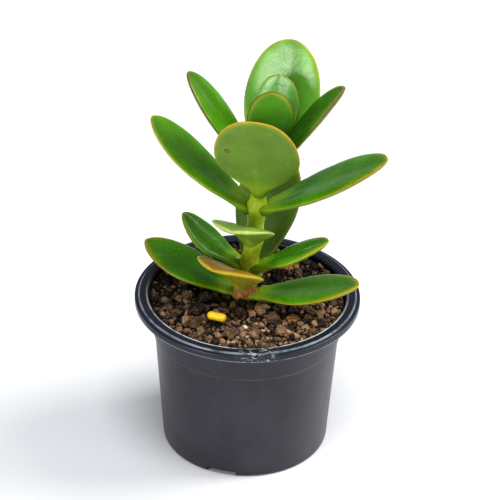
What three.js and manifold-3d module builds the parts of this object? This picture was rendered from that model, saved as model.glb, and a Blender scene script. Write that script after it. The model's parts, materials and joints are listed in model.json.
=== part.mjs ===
// Potted jade plant: a young succulent with crossed pairs of fleshy leaves on one stem, rooted in the
// soil of a thin-walled round nursery pot with a turned-down lip and a notched foot.
// Millimetres, +Z up, +Y away from the viewer, +X to the viewer's right.
// The origin is the centre of the pot's underside, on the surface that the pot stands on.
import * as THREE from "three";
import { mergeVertices } from "three/addons/utils/BufferGeometryUtils.js";
import Module from "manifold-3d";

const wasm = await Module();
wasm.setup();

// ---------------------------------------------------------------- driving dimensions
const FIT_GAP = 0.3; // air left between pieces that touch
const DEGREE = Math.PI / 180;

const POT = {
  height: 67,
  wall: 1.1,
  lipRadius: 45.2, // outside of the turned-down lip
  lipWidth: 5, // flat top of the lip, from its inner edge out
  lipDrop: 3.4, // depth of the lip's skirt
  lipStep: 0.6, // how far the lip's outer band lies under its inner band
  lipStepInset: 1.7, // width of the lip's outer band
  throatDrop: 2.5, // depth of the upright throat inside the lip
  lipRounding: 0.7,
  collarRadius: 39.2, // outside, just under the lip
  ledgeDrop: 17.4, // depth of the stacking ledge under the rim
  ledgeRadius: 37.9, // outside of the collar where it meets the ledge
  ledgeStep: 0.8, // how far the wall steps in under the ledge
  footRadius: 33.6, // outside, at the bottom corner
  footRounding: 1.5,
  footWidth: 3.4, // standing ring around the underside
  padRadius: 19, // standing pad in the middle of the underside
  channelHeight: 2.2, // raised drainage channel between ring and pad
  facets: 56,
};
const NOTCH = { count: 3, width: 12, firstBearing: 254 }; // drainage notches through the standing ring
const DRAIN = { count: 6, radius: 2.8, firstBearing: 13 }; // holes through the floor of the channel

const SOIL = {
  drop: 2.6, // depth of the soil under the rim, at the wall
  dish: 0.9, // how much lower the soil lies around the stem
  ripple: 0.45,
  rings: 9,
};

const STEM = {
  x: -1.2,
  y: 1,
  buried: 15, // length of the root crown under the soil
  footRadius: 3.0, // where it leaves the soil
  radius: 3.4, // along the green stem
  tipRadius: 2.1,
  nodeSwelling: 0.55, // the thicker ring where a pair of leaves joins
  nodeReach: 2.2,
  facetsAround: 12,
  facetsAlong: 26,
};

// The stem's centre line above the soil: sideways lean at each height.
const STEM_LEAN = [
  { rise: 0, lean: 0 },
  { rise: 15, lean: 1.2 },
  { rise: 26, lean: 3.2 },
  { rise: 41, lean: 4.2 },
  { rise: 50, lean: 4.9 },
  { rise: 60, lean: 6.8 },
  { rise: 70, lean: 8.5 },
];

// Heights above the soil at which the pairs of leaves join the stem, lowest first.
const JOIN_RISE = [2.2, 6.6, 16.2, 27, 42, 51.5, 61.5, 67];
const STEM_LENGTH = 68.5; // above the soil

const LEAF = {
  petioleWidth: 5.6,
  petioleThickness: 3.4,
  shoulder: 1.2, // how late the blade widens; less than 1 where its base is broad
  facetsAround: 12,
  facetsAlong: 13,
};

// toward: compass bearing in degrees, 0 = +X and 90 = +Y. rise: slope of the chord from base to tip.
// bend: how much the leaf curls up along its length, less than 0 where its tip droops.
// roll: turn about its own length. tip: roundness of the tip, less than 2 where it is pointed.
// widestAt: share of the length. pair: index in JOIN_RISE. lift: join above or under the pair's own rise.
const LEAVES = [
  { name: "leaf_1_left", pair: 0, toward: 155, rise: 17, lift: 0, length: 42.5, width: 22,
    thickness: 4.4, bend: 6, roll: 0, tip: 1.75, widestAt: 0.55, petioleWidth: 6.8 },
  { name: "leaf_1_right", pair: 0, toward: 338, rise: 19.5, lift: 0.8, length: 46, width: 24,
    thickness: 4.4, bend: 2, roll: 0, tip: 1.8, widestAt: 0.55, petioleWidth: 6.8 },
  { name: "leaf_2_front", pair: 1, toward: 246, rise: 41, lift: 1.5, length: 29.5, width: 28.5,
    thickness: 4, bend: -72, roll: -6, tip: 2, widestAt: 0.6 },
  { name: "leaf_2_back", pair: 1, toward: 70, rise: 54, lift: 0, length: 53, width: 27,
    thickness: 4.2, bend: 0, roll: 0, tip: 2, widestAt: 0.6 },
  { name: "leaf_3_left", pair: 2, toward: 162, rise: 38, lift: 0, length: 29, width: 17.5,
    thickness: 3.8, bend: 22, roll: 0, tip: 1.7, widestAt: 0.5 },
  { name: "leaf_3_right", pair: 2, toward: 342, rise: 32, lift: 0, length: 32.6, width: 18,
    thickness: 3.8, bend: -4, roll: 0, tip: 1.75, widestAt: 0.52 },
  { name: "leaf_4_front", pair: 3, toward: 253, rise: 39, lift: 1.4, length: 28.5, width: 25.5,
    thickness: 4, bend: -72, roll: -3, tip: 2, widestAt: 0.6 },
  { name: "leaf_5_left", pair: 4, toward: 161, rise: 38.5, lift: 0.5, length: 50.8, width: 23.5,
    thickness: 4.4, bend: 8, roll: 4, tip: 1.8, widestAt: 0.6, petioleWidth: 9, shoulder: 1 },
  { name: "leaf_5_right", pair: 4, toward: 341, rise: 33, lift: 1.6, length: 56.5, width: 28,
    thickness: 4.6, bend: -6, roll: 3, tip: 1.8, widestAt: 0.58, petioleWidth: 9.5, shoulder: 0.95 },
  { name: "leaf_6_front", pair: 5, toward: 262, rise: 64, lift: 2.6, length: 44.3, width: 33.5,
    thickness: 4.4, bend: 0, roll: 0, tip: 2.1, widestAt: 0.44, shoulder: 0.55 },
  { name: "leaf_6_back", pair: 5, toward: 64.5, rise: 66, lift: 0, length: 57, width: 32,
    thickness: 4.4, bend: 0, roll: 0, tip: 2.05, widestAt: 0.56 },
  { name: "leaf_7_left", pair: 6, toward: 167, rise: 53.3, lift: 0, length: 45.4, width: 22.5,
    thickness: 4, bend: -4, roll: 3, tip: 1.8, widestAt: 0.54 },
  { name: "leaf_7_right", pair: 6, toward: 347, rise: 56, lift: 0, length: 46.6, width: 19.5,
    thickness: 4, bend: -20, roll: 10, tip: 1.75, widestAt: 0.54 },
  { name: "leaf_8_front", pair: 7, toward: 276, rise: 86, lift: 0, length: 30.8, width: 18.5,
    thickness: 3.4, bend: 6, roll: 0, tip: 2.1, widestAt: 0.56 },
  { name: "leaf_8_back", pair: 7, toward: 69, rise: 74, lift: 0, length: 29.5, width: 18,
    thickness: 3.4, bend: 6, roll: 0, tip: 2.1, widestAt: 0.56 },
];

const BUD = { length: 6, width: 3.4, thickness: 1.7, rise: 84, toward: 160 };

// Loose pieces on the soil. reach: share of the soil's radius, out from the pot's axis.
const PELLET = { bearing: 238, reach: 0.57, radius: 1.45, length: 8, turn: -34 };
const CHIPS = [
  { name: "bark_chip_1", bearing: 319, reach: 0.63, size: [5.4, 4.2, 1.8], turn: 20 },
  { name: "bark_chip_2", bearing: 342, reach: 0.77, size: [3.6, 2.8, 1.5], turn: -30 },
  { name: "bark_chip_3", bearing: 54, reach: 0.68, size: [9.5, 5.0, 2.4], turn: 8 },
];
const CLODS = [
  { bearing: 212, reach: 0.59, size: 6.2 },
  { bearing: 182, reach: 0.61, size: 4.6 },
  { bearing: 166, reach: 0.86, size: 4.4 },
  { bearing: 186, reach: 0.42, size: 4.8 },
  { bearing: 206, reach: 0.8, size: 4.2 },
  { bearing: 257, reach: 0.34, size: 4.6 },
  { bearing: 297, reach: 0.3, size: 5.0 },
  { bearing: 326, reach: 0.4, size: 4.4 },
  { bearing: 301, reach: 0.52, size: 5.6 },
  { bearing: 297, reach: 0.76, size: 4.8 },
  { bearing: 257, reach: 0.75, size: 5.2 },
  { bearing: 227, reach: 0.8, size: 4.8 },
];
const GRIT = { bearing: 269, reach: 0.6, size: 1.5 };

// ---------------------------------------------------------------- solids
/** The closed manifold-3d solid of a three.js geometry. */
function solidOf(geometry) {
  const bare = geometry.index ? geometry.toNonIndexed() : geometry.clone();
  bare.deleteAttribute("normal");
  bare.deleteAttribute("uv");
  const merged = mergeVertices(bare, 1e-4);
  return new wasm.Manifold(
    new wasm.Mesh({
      numProp: 3,
      vertProperties: merged.attributes.position.array,
      triVerts: new Uint32Array(merged.index.array),
    }),
  );
}

/** The three.js geometry of a manifold-3d solid. */
function geometryOf(solid) {
  const mesh = solid.getMesh();
  const geometry = new THREE.BufferGeometry();
  geometry.setAttribute("position", new THREE.BufferAttribute(mesh.vertProperties, 3));
  geometry.setIndex(new THREE.BufferAttribute(mesh.triVerts, 1));
  const flat = geometry.toNonIndexed();
  flat.computeVertexNormals();
  return flat;
}

/** Moves every vertex of a geometry to where place(vertex) puts it. */
function reshape(geometry, place) {
  const position = geometry.attributes.position;
  const vertex = new THREE.Vector3();
  for (let i = 0; i < position.count; i++) {
    vertex.fromBufferAttribute(position, i);
    const moved = place(vertex);
    position.setXYZ(i, moved.x, moved.y, moved.z);
  }
  geometry.computeVertexNormals();
  return geometry;
}

/** A lathe about +Z of an outline of (radius, height) points. */
function turned(outline, facets) {
  return new THREE.LatheGeometry(outline, facets).rotateX(Math.PI / 2);
}

/** A horizontal unit vector at a bearing. */
function bearingVector(bearing) {
  return new THREE.Vector3(Math.cos(bearing * DEGREE), Math.sin(bearing * DEGREE), 0);
}

function mesh(name, geometry, material) {
  const made = new THREE.Mesh(geometry, material);
  made.name = name;
  return made;
}

// ---------------------------------------------------------------- materials
const MATERIALS = {
  plastic: new THREE.MeshStandardMaterial({ color: 0x2b2b33, roughness: 0.38, metalness: 0 }),
  soil: new THREE.MeshStandardMaterial({ color: 0x4a3328, roughness: 0.95, metalness: 0 }),
  bark: new THREE.MeshStandardMaterial({ color: 0x8a4a22, roughness: 0.85, metalness: 0 }),
  stem: new THREE.MeshStandardMaterial({ color: 0x8fa82e, roughness: 0.5, metalness: 0 }),
  leaf: new THREE.MeshStandardMaterial({ color: 0x3f8a1c, roughness: 0.35, metalness: 0 }),
  dryLeaf: new THREE.MeshStandardMaterial({ color: 0xa88a35, roughness: 0.45, metalness: 0 }),
  pellet: new THREE.MeshStandardMaterial({ color: 0xf2c40e, roughness: 0.4, metalness: 0 }),
  grit: new THREE.MeshStandardMaterial({ color: 0xe8e2d6, roughness: 0.8, metalness: 0 }),
};

// ---------------------------------------------------------------- pot
/** The pot's outer outline from the underside's centre up to the lip's top inner edge. */
function potOutside() {
  const { height, wall, lipRadius, lipStepInset, lipStep, lipDrop, lipRounding, throatDrop } = POT;
  const lipStepRadius = lipRadius - lipStepInset;
  const { padRadius, channelHeight } = POT;
  const lipInside = lipRadius - POT.lipWidth;
  const ringInside = POT.footRadius - POT.footWidth;
  const ledgeHeight = height - POT.ledgeDrop;
  const path = new THREE.Path();
  path.moveTo(0, 0);
  path.lineTo(padRadius, 0);
  path.lineTo(padRadius + channelHeight / 4, channelHeight);
  path.lineTo(ringInside - channelHeight / 4, channelHeight);
  path.lineTo(ringInside, 0);
  path.lineTo(POT.footRadius - POT.footRounding, 0);
  path.quadraticCurveTo(POT.footRadius, 0, POT.footRadius + 0.1, POT.footRounding);
  path.lineTo(POT.ledgeRadius - POT.ledgeStep, ledgeHeight);
  path.lineTo(POT.ledgeRadius, ledgeHeight + POT.ledgeStep);
  path.lineTo(POT.collarRadius, height - lipDrop);
  path.lineTo(lipInside + wall * 0.3, height - throatDrop);
  path.lineTo(lipInside + wall * 0.3, height - lipStep - wall);
  path.lineTo(lipRadius - wall, height - lipStep - wall);
  path.lineTo(lipRadius - wall, height - lipDrop);
  path.lineTo(lipRadius, height - lipDrop);
  path.lineTo(lipRadius, height - lipStep - lipRounding);
  path.quadraticCurveTo(lipRadius, height - lipStep, lipRadius - lipRounding, height - lipStep);
  path.lineTo(lipStepRadius + lipStep / 2, height - lipStep);
  path.lineTo(lipStepRadius, height);
  path.lineTo(lipInside, height);
  return path.getPoints(3);
}

/** The pot's inner outline, a list of points from the rim down to the centre of the floor. */
function potInside() {
  const { height, wall, channelHeight } = POT;
  const throat = POT.lipRadius - POT.lipWidth - wall * 0.7;
  const ledgeHeight = height - POT.ledgeDrop;
  const ringInside = POT.footRadius - POT.footWidth;
  return [
    new THREE.Vector2(throat, height - wall * 0.5),
    new THREE.Vector2(throat, height - POT.throatDrop - wall * 0.3),
    new THREE.Vector2(POT.collarRadius - wall, height - POT.lipDrop - wall * 0.3),
    new THREE.Vector2(POT.ledgeRadius - wall, ledgeHeight + POT.ledgeStep),
    new THREE.Vector2(POT.ledgeRadius - POT.ledgeStep - wall, ledgeHeight - wall * 0.5),
    new THREE.Vector2(POT.footRadius - wall, channelHeight + wall * 2),
    new THREE.Vector2(ringInside - channelHeight / 4, channelHeight + wall),
    new THREE.Vector2(POT.padRadius, channelHeight + wall),
    new THREE.Vector2(POT.padRadius - channelHeight / 4, wall),
    new THREE.Vector2(0, wall),
  ];
}

function makePot() {
  const { channelHeight, wall } = POT;
  let pot = solidOf(turned([...potOutside(), ...potInside(), new THREE.Vector2(0, 0)], POT.facets));
  for (let i = 0; i < NOTCH.count; i++) {
    const bearing = NOTCH.firstBearing + (360 / NOTCH.count) * i;
    const reach = POT.footWidth * 3;
    const notch = new THREE.BoxGeometry(reach, NOTCH.width, channelHeight * 2);
    notch.translate(POT.footRadius - POT.footWidth + reach / 2 - channelHeight / 2, 0, 0);
    notch.rotateZ(bearing * DEGREE);
    pot = pot.subtract(solidOf(notch));
  }
  const drainCircle = (POT.padRadius + POT.footRadius - POT.footWidth) / 2;
  for (let i = 0; i < DRAIN.count; i++) {
    const bearing = DRAIN.firstBearing + (360 / DRAIN.count) * i;
    const hole = new THREE.CylinderGeometry(DRAIN.radius, DRAIN.radius, channelHeight * 2 + wall * 4, 16);
    hole.rotateX(Math.PI / 2);
    hole.translate(drainCircle, 0, channelHeight);
    hole.rotateZ(bearing * DEGREE);
    pot = pot.subtract(solidOf(hole));
  }
  return mesh("pot", geometryOf(pot), MATERIALS.plastic);
}

// ---------------------------------------------------------------- soil
/** Radius of the pot's inside at a height, by the straight stretches of its inner outline. */
function potInsideRadius(height) {
  const outline = potInside();
  for (let i = 1; i < outline.length; i++) {
    const [above, below] = [outline[i - 1], outline[i]];
    if (height <= above.y && height >= below.y)
      return below.x + ((above.x - below.x) * (height - below.y)) / (above.y - below.y);
  }
  return outline[0].x;
}

const SOIL_EDGE = POT.height - SOIL.drop;
const SOIL_RADIUS = potInsideRadius(SOIL_EDGE) - FIT_GAP;

/** Height of the soil's surface over a point. */
function soilTop(x, y) {
  const out = Math.min(1, Math.hypot(x, y) / SOIL_RADIUS);
  const ripple = Math.sin(x * 0.61 + y * 0.23) + Math.sin(y * 0.53 - x * 0.37 + 1.3);
  const calmEdge = 1 - out ** 6;
  return SOIL_EDGE - SOIL.dish * (1 - out ** 2) ** 2 + SOIL.ripple * ripple * calmEdge;
}

function makeSoil() {
  const under = potInside()
    .filter((point) => point.y < SOIL_EDGE)
    .reverse()
    .map((point) => new THREE.Vector2(Math.max(0, point.x - (point.x > 0 ? FIT_GAP : 0)), point.y + FIT_GAP));
  const top = [];
  for (let ring = 0; ring <= SOIL.rings; ring++)
    top.push(new THREE.Vector2(SOIL_RADIUS * (1 - ring / SOIL.rings), SOIL_EDGE));
  const body = reshape(turned([...under, ...top], POT.facets / 2), (v) =>
    v.z < SOIL_EDGE - 1e-3 ? v : v.clone().setZ(soilTop(v.x, v.y)),
  );
  const pocket = solidOf(stemGeometry(FIT_GAP));
  return mesh("soil", geometryOf(solidOf(body).subtract(pocket)), MATERIALS.soil);
}

// ---------------------------------------------------------------- stem
const STEM_BASE = soilTop(STEM.x, STEM.y);
const stemCurve = new THREE.CatmullRomCurve3(
  STEM_LEAN.map(({ rise, lean }) => new THREE.Vector3(STEM.x + lean, STEM.y, STEM_BASE + rise)),
);

/** Centre of the stem at a rise above the soil; straight down below it. */
function stemCentre(rise) {
  const last = STEM_LEAN[STEM_LEAN.length - 1].rise;
  if (rise <= 0) return new THREE.Vector3(STEM.x, STEM.y, STEM_BASE + rise);
  let [low, high] = [0, 1];
  for (let i = 0; i < 24; i++) {
    const middle = (low + high) / 2;
    if (stemCurve.getPoint(middle).z - STEM_BASE < Math.min(rise, last)) low = middle;
    else high = middle;
  }
  return stemCurve.getPoint(low);
}

/** Radius of the stem at a rise above the soil. */
function stemRadius(rise) {
  if (rise < 0) return STEM.footRadius * Math.sqrt(Math.max(0.02, 1 + rise / STEM.buried));
  const slimming = Math.max(0, rise / STEM_LENGTH - 0.4) / 0.6;
  const grown = THREE.MathUtils.smoothstep(rise, 0, 6);
  const shaft = STEM.footRadius + (STEM.radius - STEM.footRadius) * grown;
  let radius = shaft + (STEM.tipRadius - shaft) * slimming ** 1.5;
  for (const join of JOIN_RISE)
    radius += STEM.nodeSwelling * Math.exp(-(((rise - join) / STEM.nodeReach) ** 2)) * (1 - slimming / 2);
  return radius;
}

/** The stem's surface, grown outwards by an allowance. */
function stemGeometry(allowance) {
  const column = new THREE.CylinderGeometry(1, 1, 1, STEM.facetsAround, STEM.facetsAlong);
  return reshape(column.rotateX(Math.PI / 2), (v) => {
    const whole = STEM_LENGTH + STEM.buried + allowance * 2;
    const rise = (v.z + 0.5) * whole - STEM.buried - allowance;
    const centre = stemCentre(rise);
    const radius = stemRadius(rise) + allowance;
    return new THREE.Vector3(centre.x + v.x * radius, centre.y + v.y * radius, STEM_BASE + rise);
  });
}

// ---------------------------------------------------------------- leaves
/** Half the blade's width, as a share of its greatest half width, at a share of the length. */
function bladeOutline(leaf, along, petioleShare) {
  if (along > leaf.widestAt) {
    const past = (along - leaf.widestAt) / (1 - leaf.widestAt);
    return Math.max(0, 1 - past ** leaf.tip) ** (1 / leaf.tip);
  }
  const toWidest = along / leaf.widestAt;
  const shoulder = leaf.shoulder ?? LEAF.shoulder;
  return petioleShare + (1 - petioleShare) * Math.sin((toWidest ** 1.1 * Math.PI) / 2) ** shoulder;
}

/** A leaf's surface: a ball whose poles are the leaf's base and tip, drawn out along a bent midrib. */
function leafGeometry(leaf, start) {
  const ball = new THREE.SphereGeometry(1, LEAF.facetsAround, LEAF.facetsAlong).rotateX(Math.PI / 2);
  const petioleShare = Math.min(0.9, (leaf.petioleWidth ?? LEAF.petioleWidth) / leaf.width);
  const petioleThickness = leaf.petioleThickness ?? LEAF.petioleThickness;
  const midrib = midribOf(leaf, start);
  return reshape(ball, (v) => {
    const pole = Math.acos(THREE.MathUtils.clamp(v.z, -1, 1)) / Math.PI;
    const along = (1 - Math.cos(Math.PI * Math.min(1, pole * 1.02))) / 2;
    const angle = Math.atan2(v.y, v.x);
    const ring = Math.hypot(v.x, v.y) < 1e-6 ? 0 : 1;
    const { point, side, normal } = midrib(along);
    const halfWidth = (leaf.width / 2) * bladeOutline(leaf, along, petioleShare) * ring;
    const thickness = THREE.MathUtils.lerp(petioleThickness, leaf.thickness, Math.min(1, along * 3));
    const halfThickness = (thickness / 2) * Math.max(0, 1 - along ** 5) ** 0.5 * ring;
    const [across, up] = [Math.cos(angle), Math.sin(angle)];
    const cupped = leaf.width * 0.05 * (across ** 2 - 0.5) * Math.sin(Math.PI * along) * ring;
    return point
      .clone()
      .addScaledVector(side, across * halfWidth)
      .addScaledVector(normal, up * halfThickness + cupped);
  });
}

/** A function from the share of a leaf's length to the point, side and normal of its midrib there. */
function midribOf(leaf, start) {
  const steps = 60;
  const points = [start.clone()];
  const frames = [];
  for (let i = 0; i <= steps; i++) {
    const along = i / steps;
    const slope = (leaf.rise + leaf.bend * (along - 0.5)) * DEGREE;
    const tangent = bearingVector(leaf.toward).multiplyScalar(Math.cos(slope)).setZ(Math.sin(slope));
    const upward = bearingVector(leaf.toward).multiplyScalar(-Math.sin(slope)).setZ(Math.cos(slope));
    upward.applyAxisAngle(tangent, leaf.roll * DEGREE);
    frames.push({ side: new THREE.Vector3().crossVectors(tangent, upward), normal: upward });
    points.push(points[i].clone().addScaledVector(tangent, leaf.length / steps));
  }
  return (along) => {
    const i = Math.min(steps, Math.round(along * steps));
    const within = along * steps - i;
    const ahead = points[i + 1].clone().sub(points[i]);
    return { point: points[i].clone().addScaledVector(ahead, within), ...frames[i] };
  };
}

function makeLeaf(leaf) {
  const rise = JOIN_RISE[leaf.pair] + leaf.lift;
  const petioleThickness = leaf.petioleThickness ?? LEAF.petioleThickness;
  const tilt = (petioleThickness / 2) * Math.sin(Math.abs(leaf.rise) * DEGREE);
  const clear = stemRadius(rise) + FIT_GAP + tilt;
  const start = stemCentre(rise).addScaledVector(bearingVector(leaf.toward), clear);
  const material = leaf.name === "leaf_2_front" ? MATERIALS.dryLeaf : MATERIALS.leaf;
  return mesh(leaf.name, leafGeometry(leaf, start), material);
}

// ---------------------------------------------------------------- loose pieces on the soil
/** The point on the soil at a bearing and a share of its radius. */
function onSoil({ bearing, reach }) {
  const point = bearingVector(bearing).multiplyScalar(reach * SOIL_RADIUS);
  return point.setZ(soilTop(point.x, point.y));
}

/** Sets a geometry down on the soil, clear of the highest ground beneath it. */
function setDown(geometry, place) {
  const point = onSoil(place);
  geometry.computeBoundingBox();
  const { min, max } = geometry.boundingBox;
  let ground = point.z;
  for (const x of [min.x, 0, max.x])
    for (const y of [min.y, 0, max.y]) ground = Math.max(ground, soilTop(point.x + x, point.y + y));
  return geometry.translate(point.x, point.y, ground + FIT_GAP - min.z);
}

/** A lump with uneven sides: a low ball pushed in and out by a few waves. */
function lump([length, width, height], detail, phase) {
  const ball = new THREE.IcosahedronGeometry(1, detail);
  return reshape(ball, (v) => {
    const uneven = 1 + 0.14 * Math.sin(v.x * 4 + phase) + 0.12 * Math.sin(v.y * 5 + v.z * 3 + phase * 2);
    return v.clone().multiply(new THREE.Vector3(length / 2, width / 2, height / 2)).multiplyScalar(uneven);
  });
}

function makeLoosePieces() {
  const group = new THREE.Group();
  const pellet = new THREE.CapsuleGeometry(PELLET.radius, PELLET.length - PELLET.radius * 2, 3, 10);
  pellet.rotateZ(Math.PI / 2 + PELLET.turn * DEGREE);
  group.add(mesh("fertiliser_pellet", setDown(pellet, PELLET), MATERIALS.pellet));
  CHIPS.forEach((chip, i) => {
    const shape = lump(chip.size, 1, i * 2.1 + 0.7).rotateZ(chip.turn * DEGREE);
    group.add(mesh(chip.name, setDown(shape, chip), MATERIALS.bark));
  });
  CLODS.forEach((clod, i) => {
    const size = [clod.size, clod.size * 0.84, clod.size * 0.6];
    const shape = lump(size, 1, i * 1.7).rotateZ(i * 50 * DEGREE);
    group.add(mesh(`soil_clod_${i + 1}`, setDown(shape, clod), MATERIALS.soil));
  });
  const grit = lump([GRIT.size, GRIT.size, GRIT.size], 1, 0.4);
  group.add(mesh("grit_grain", setDown(grit, GRIT), MATERIALS.grit));
  return group;
}

// ---------------------------------------------------------------- assembly
function makeShootTip() {
  const start = stemCentre(STEM_LENGTH).setZ(STEM_BASE + STEM_LENGTH + FIT_GAP);
  const bud = { ...BUD, bend: 0, roll: 0, tip: 1.7, widestAt: 0.5, petioleWidth: 2.6, petioleThickness: 1.4 };
  return mesh("shoot_tip", leafGeometry(bud, start), MATERIALS.leaf);
}

const plant = new THREE.Group();
plant.add(mesh("stem", stemGeometry(0), MATERIALS.stem));
plant.add(makeShootTip());
for (const leaf of LEAVES) plant.add(makeLeaf(leaf));

const root = new THREE.Group();
root.add(makePot(), makeSoil(), plant, makeLoosePieces());

export default root;
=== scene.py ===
"""A young jade plant in a round nursery pot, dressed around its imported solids.

The pot, the soil with its crumbs, the stem and every leaf are modelled here at the sizes and places of the
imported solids, and carry procedural finishes. Lengths are in metres, +Z is up, and the viewer looks along +Y.
"""

import json
import logging
import math
from dataclasses import dataclass, field
from enum import Enum
from typing import Any, Sequence, Union

import bmesh
import bpy
import numpy as np
from mathutils import Matrix, Vector
from mathutils.bvhtree import BVHTree


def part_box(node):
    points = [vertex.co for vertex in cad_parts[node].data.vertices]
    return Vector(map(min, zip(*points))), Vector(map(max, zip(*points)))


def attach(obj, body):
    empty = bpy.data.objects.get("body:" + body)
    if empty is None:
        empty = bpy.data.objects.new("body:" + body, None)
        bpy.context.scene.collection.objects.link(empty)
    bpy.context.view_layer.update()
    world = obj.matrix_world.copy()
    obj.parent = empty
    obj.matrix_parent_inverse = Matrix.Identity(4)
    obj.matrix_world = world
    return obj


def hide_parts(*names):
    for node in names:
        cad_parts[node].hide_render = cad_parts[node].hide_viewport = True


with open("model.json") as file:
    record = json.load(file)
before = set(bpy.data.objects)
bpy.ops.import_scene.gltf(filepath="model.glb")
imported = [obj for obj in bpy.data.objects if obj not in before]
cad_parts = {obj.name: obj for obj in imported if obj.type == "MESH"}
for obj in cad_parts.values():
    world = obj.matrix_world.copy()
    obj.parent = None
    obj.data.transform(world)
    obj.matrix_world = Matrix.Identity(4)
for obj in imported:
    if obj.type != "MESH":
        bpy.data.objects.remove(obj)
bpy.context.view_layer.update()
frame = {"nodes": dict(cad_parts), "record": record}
LOG = logging.getLogger("jade_plant")
MM = 0.001
Colour = tuple[float, float, float]
PATTERN_STEP = (0.37, 0.61, 0.17)  # how far a dent pattern shifts for each step of its seed, in metres


# ---------------------------------------------------------------- shader workbench
class Wire:
    """A number that flows between shader nodes. Arithmetic on it adds the Math nodes."""

    def __init__(self, bench: "Bench", socket: bpy.types.NodeSocket) -> None:
        """Wraps an output socket of the bench's node tree."""
        self.bench = bench
        self.socket = socket

    def _math(self, operation: str, *values: Any, clamp: bool = False) -> "Wire":
        """Adds one Math node.

        Args:
            operation: the Math node's operation.
            values: wires or numbers for its inputs, in order.
            clamp: whether the result is held between 0 and 1.

        Returns:
            The wire that carries the result.
        """
        inputs = dict(enumerate(values))
        return self.bench.node("ShaderNodeMath", {"operation": operation, "use_clamp": clamp}, inputs).out()

    def __add__(self, other: Any) -> "Wire":
        """Sum."""
        return self._math("ADD", self, other)

    __radd__ = __add__

    def __sub__(self, other: Any) -> "Wire":
        """Difference."""
        return self._math("SUBTRACT", self, other)

    def __rsub__(self, other: Any) -> "Wire":
        """Difference with the wire on the right."""
        return self._math("SUBTRACT", other, self)

    def __mul__(self, other: Any) -> "Wire":
        """Product."""
        return self._math("MULTIPLY", self, other)

    __rmul__ = __mul__

    def __pow__(self, other: Any) -> "Wire":
        """Power."""
        return self._math("POWER", self, other)

    def __abs__(self) -> "Wire":
        """Size without sign."""
        return self._math("ABSOLUTE", self)

    def clamped(self) -> "Wire":
        """The same, held between 0 and 1."""
        return self._math("ADD", self, 0.0, clamp=True)

    def ramp(self, low: float, high: float) -> "Wire":
        """A smooth step.

        Args:
            low: the value that gives 0.
            high: the value that gives 1. It may be less than low, which turns the step round.

        Returns:
            A wire from 0 to 1.
        """
        settings = {"interpolation_type": "SMOOTHSTEP", "clamp": True}
        ends = (low, high, 0.0, 1.0) if high > low else (high, low, 1.0, 0.0)
        return self.bench.node("ShaderNodeMapRange", settings, dict(enumerate((self, *ends)))).out()


@dataclass
class Part:
    """A node on the bench."""

    bench: "Bench"
    body: bpy.types.Node

    def out(self, name: Union[str, int] = 0) -> Wire:
        """The wire from one of the node's outputs."""
        return Wire(self.bench, self.body.outputs[name])


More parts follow.
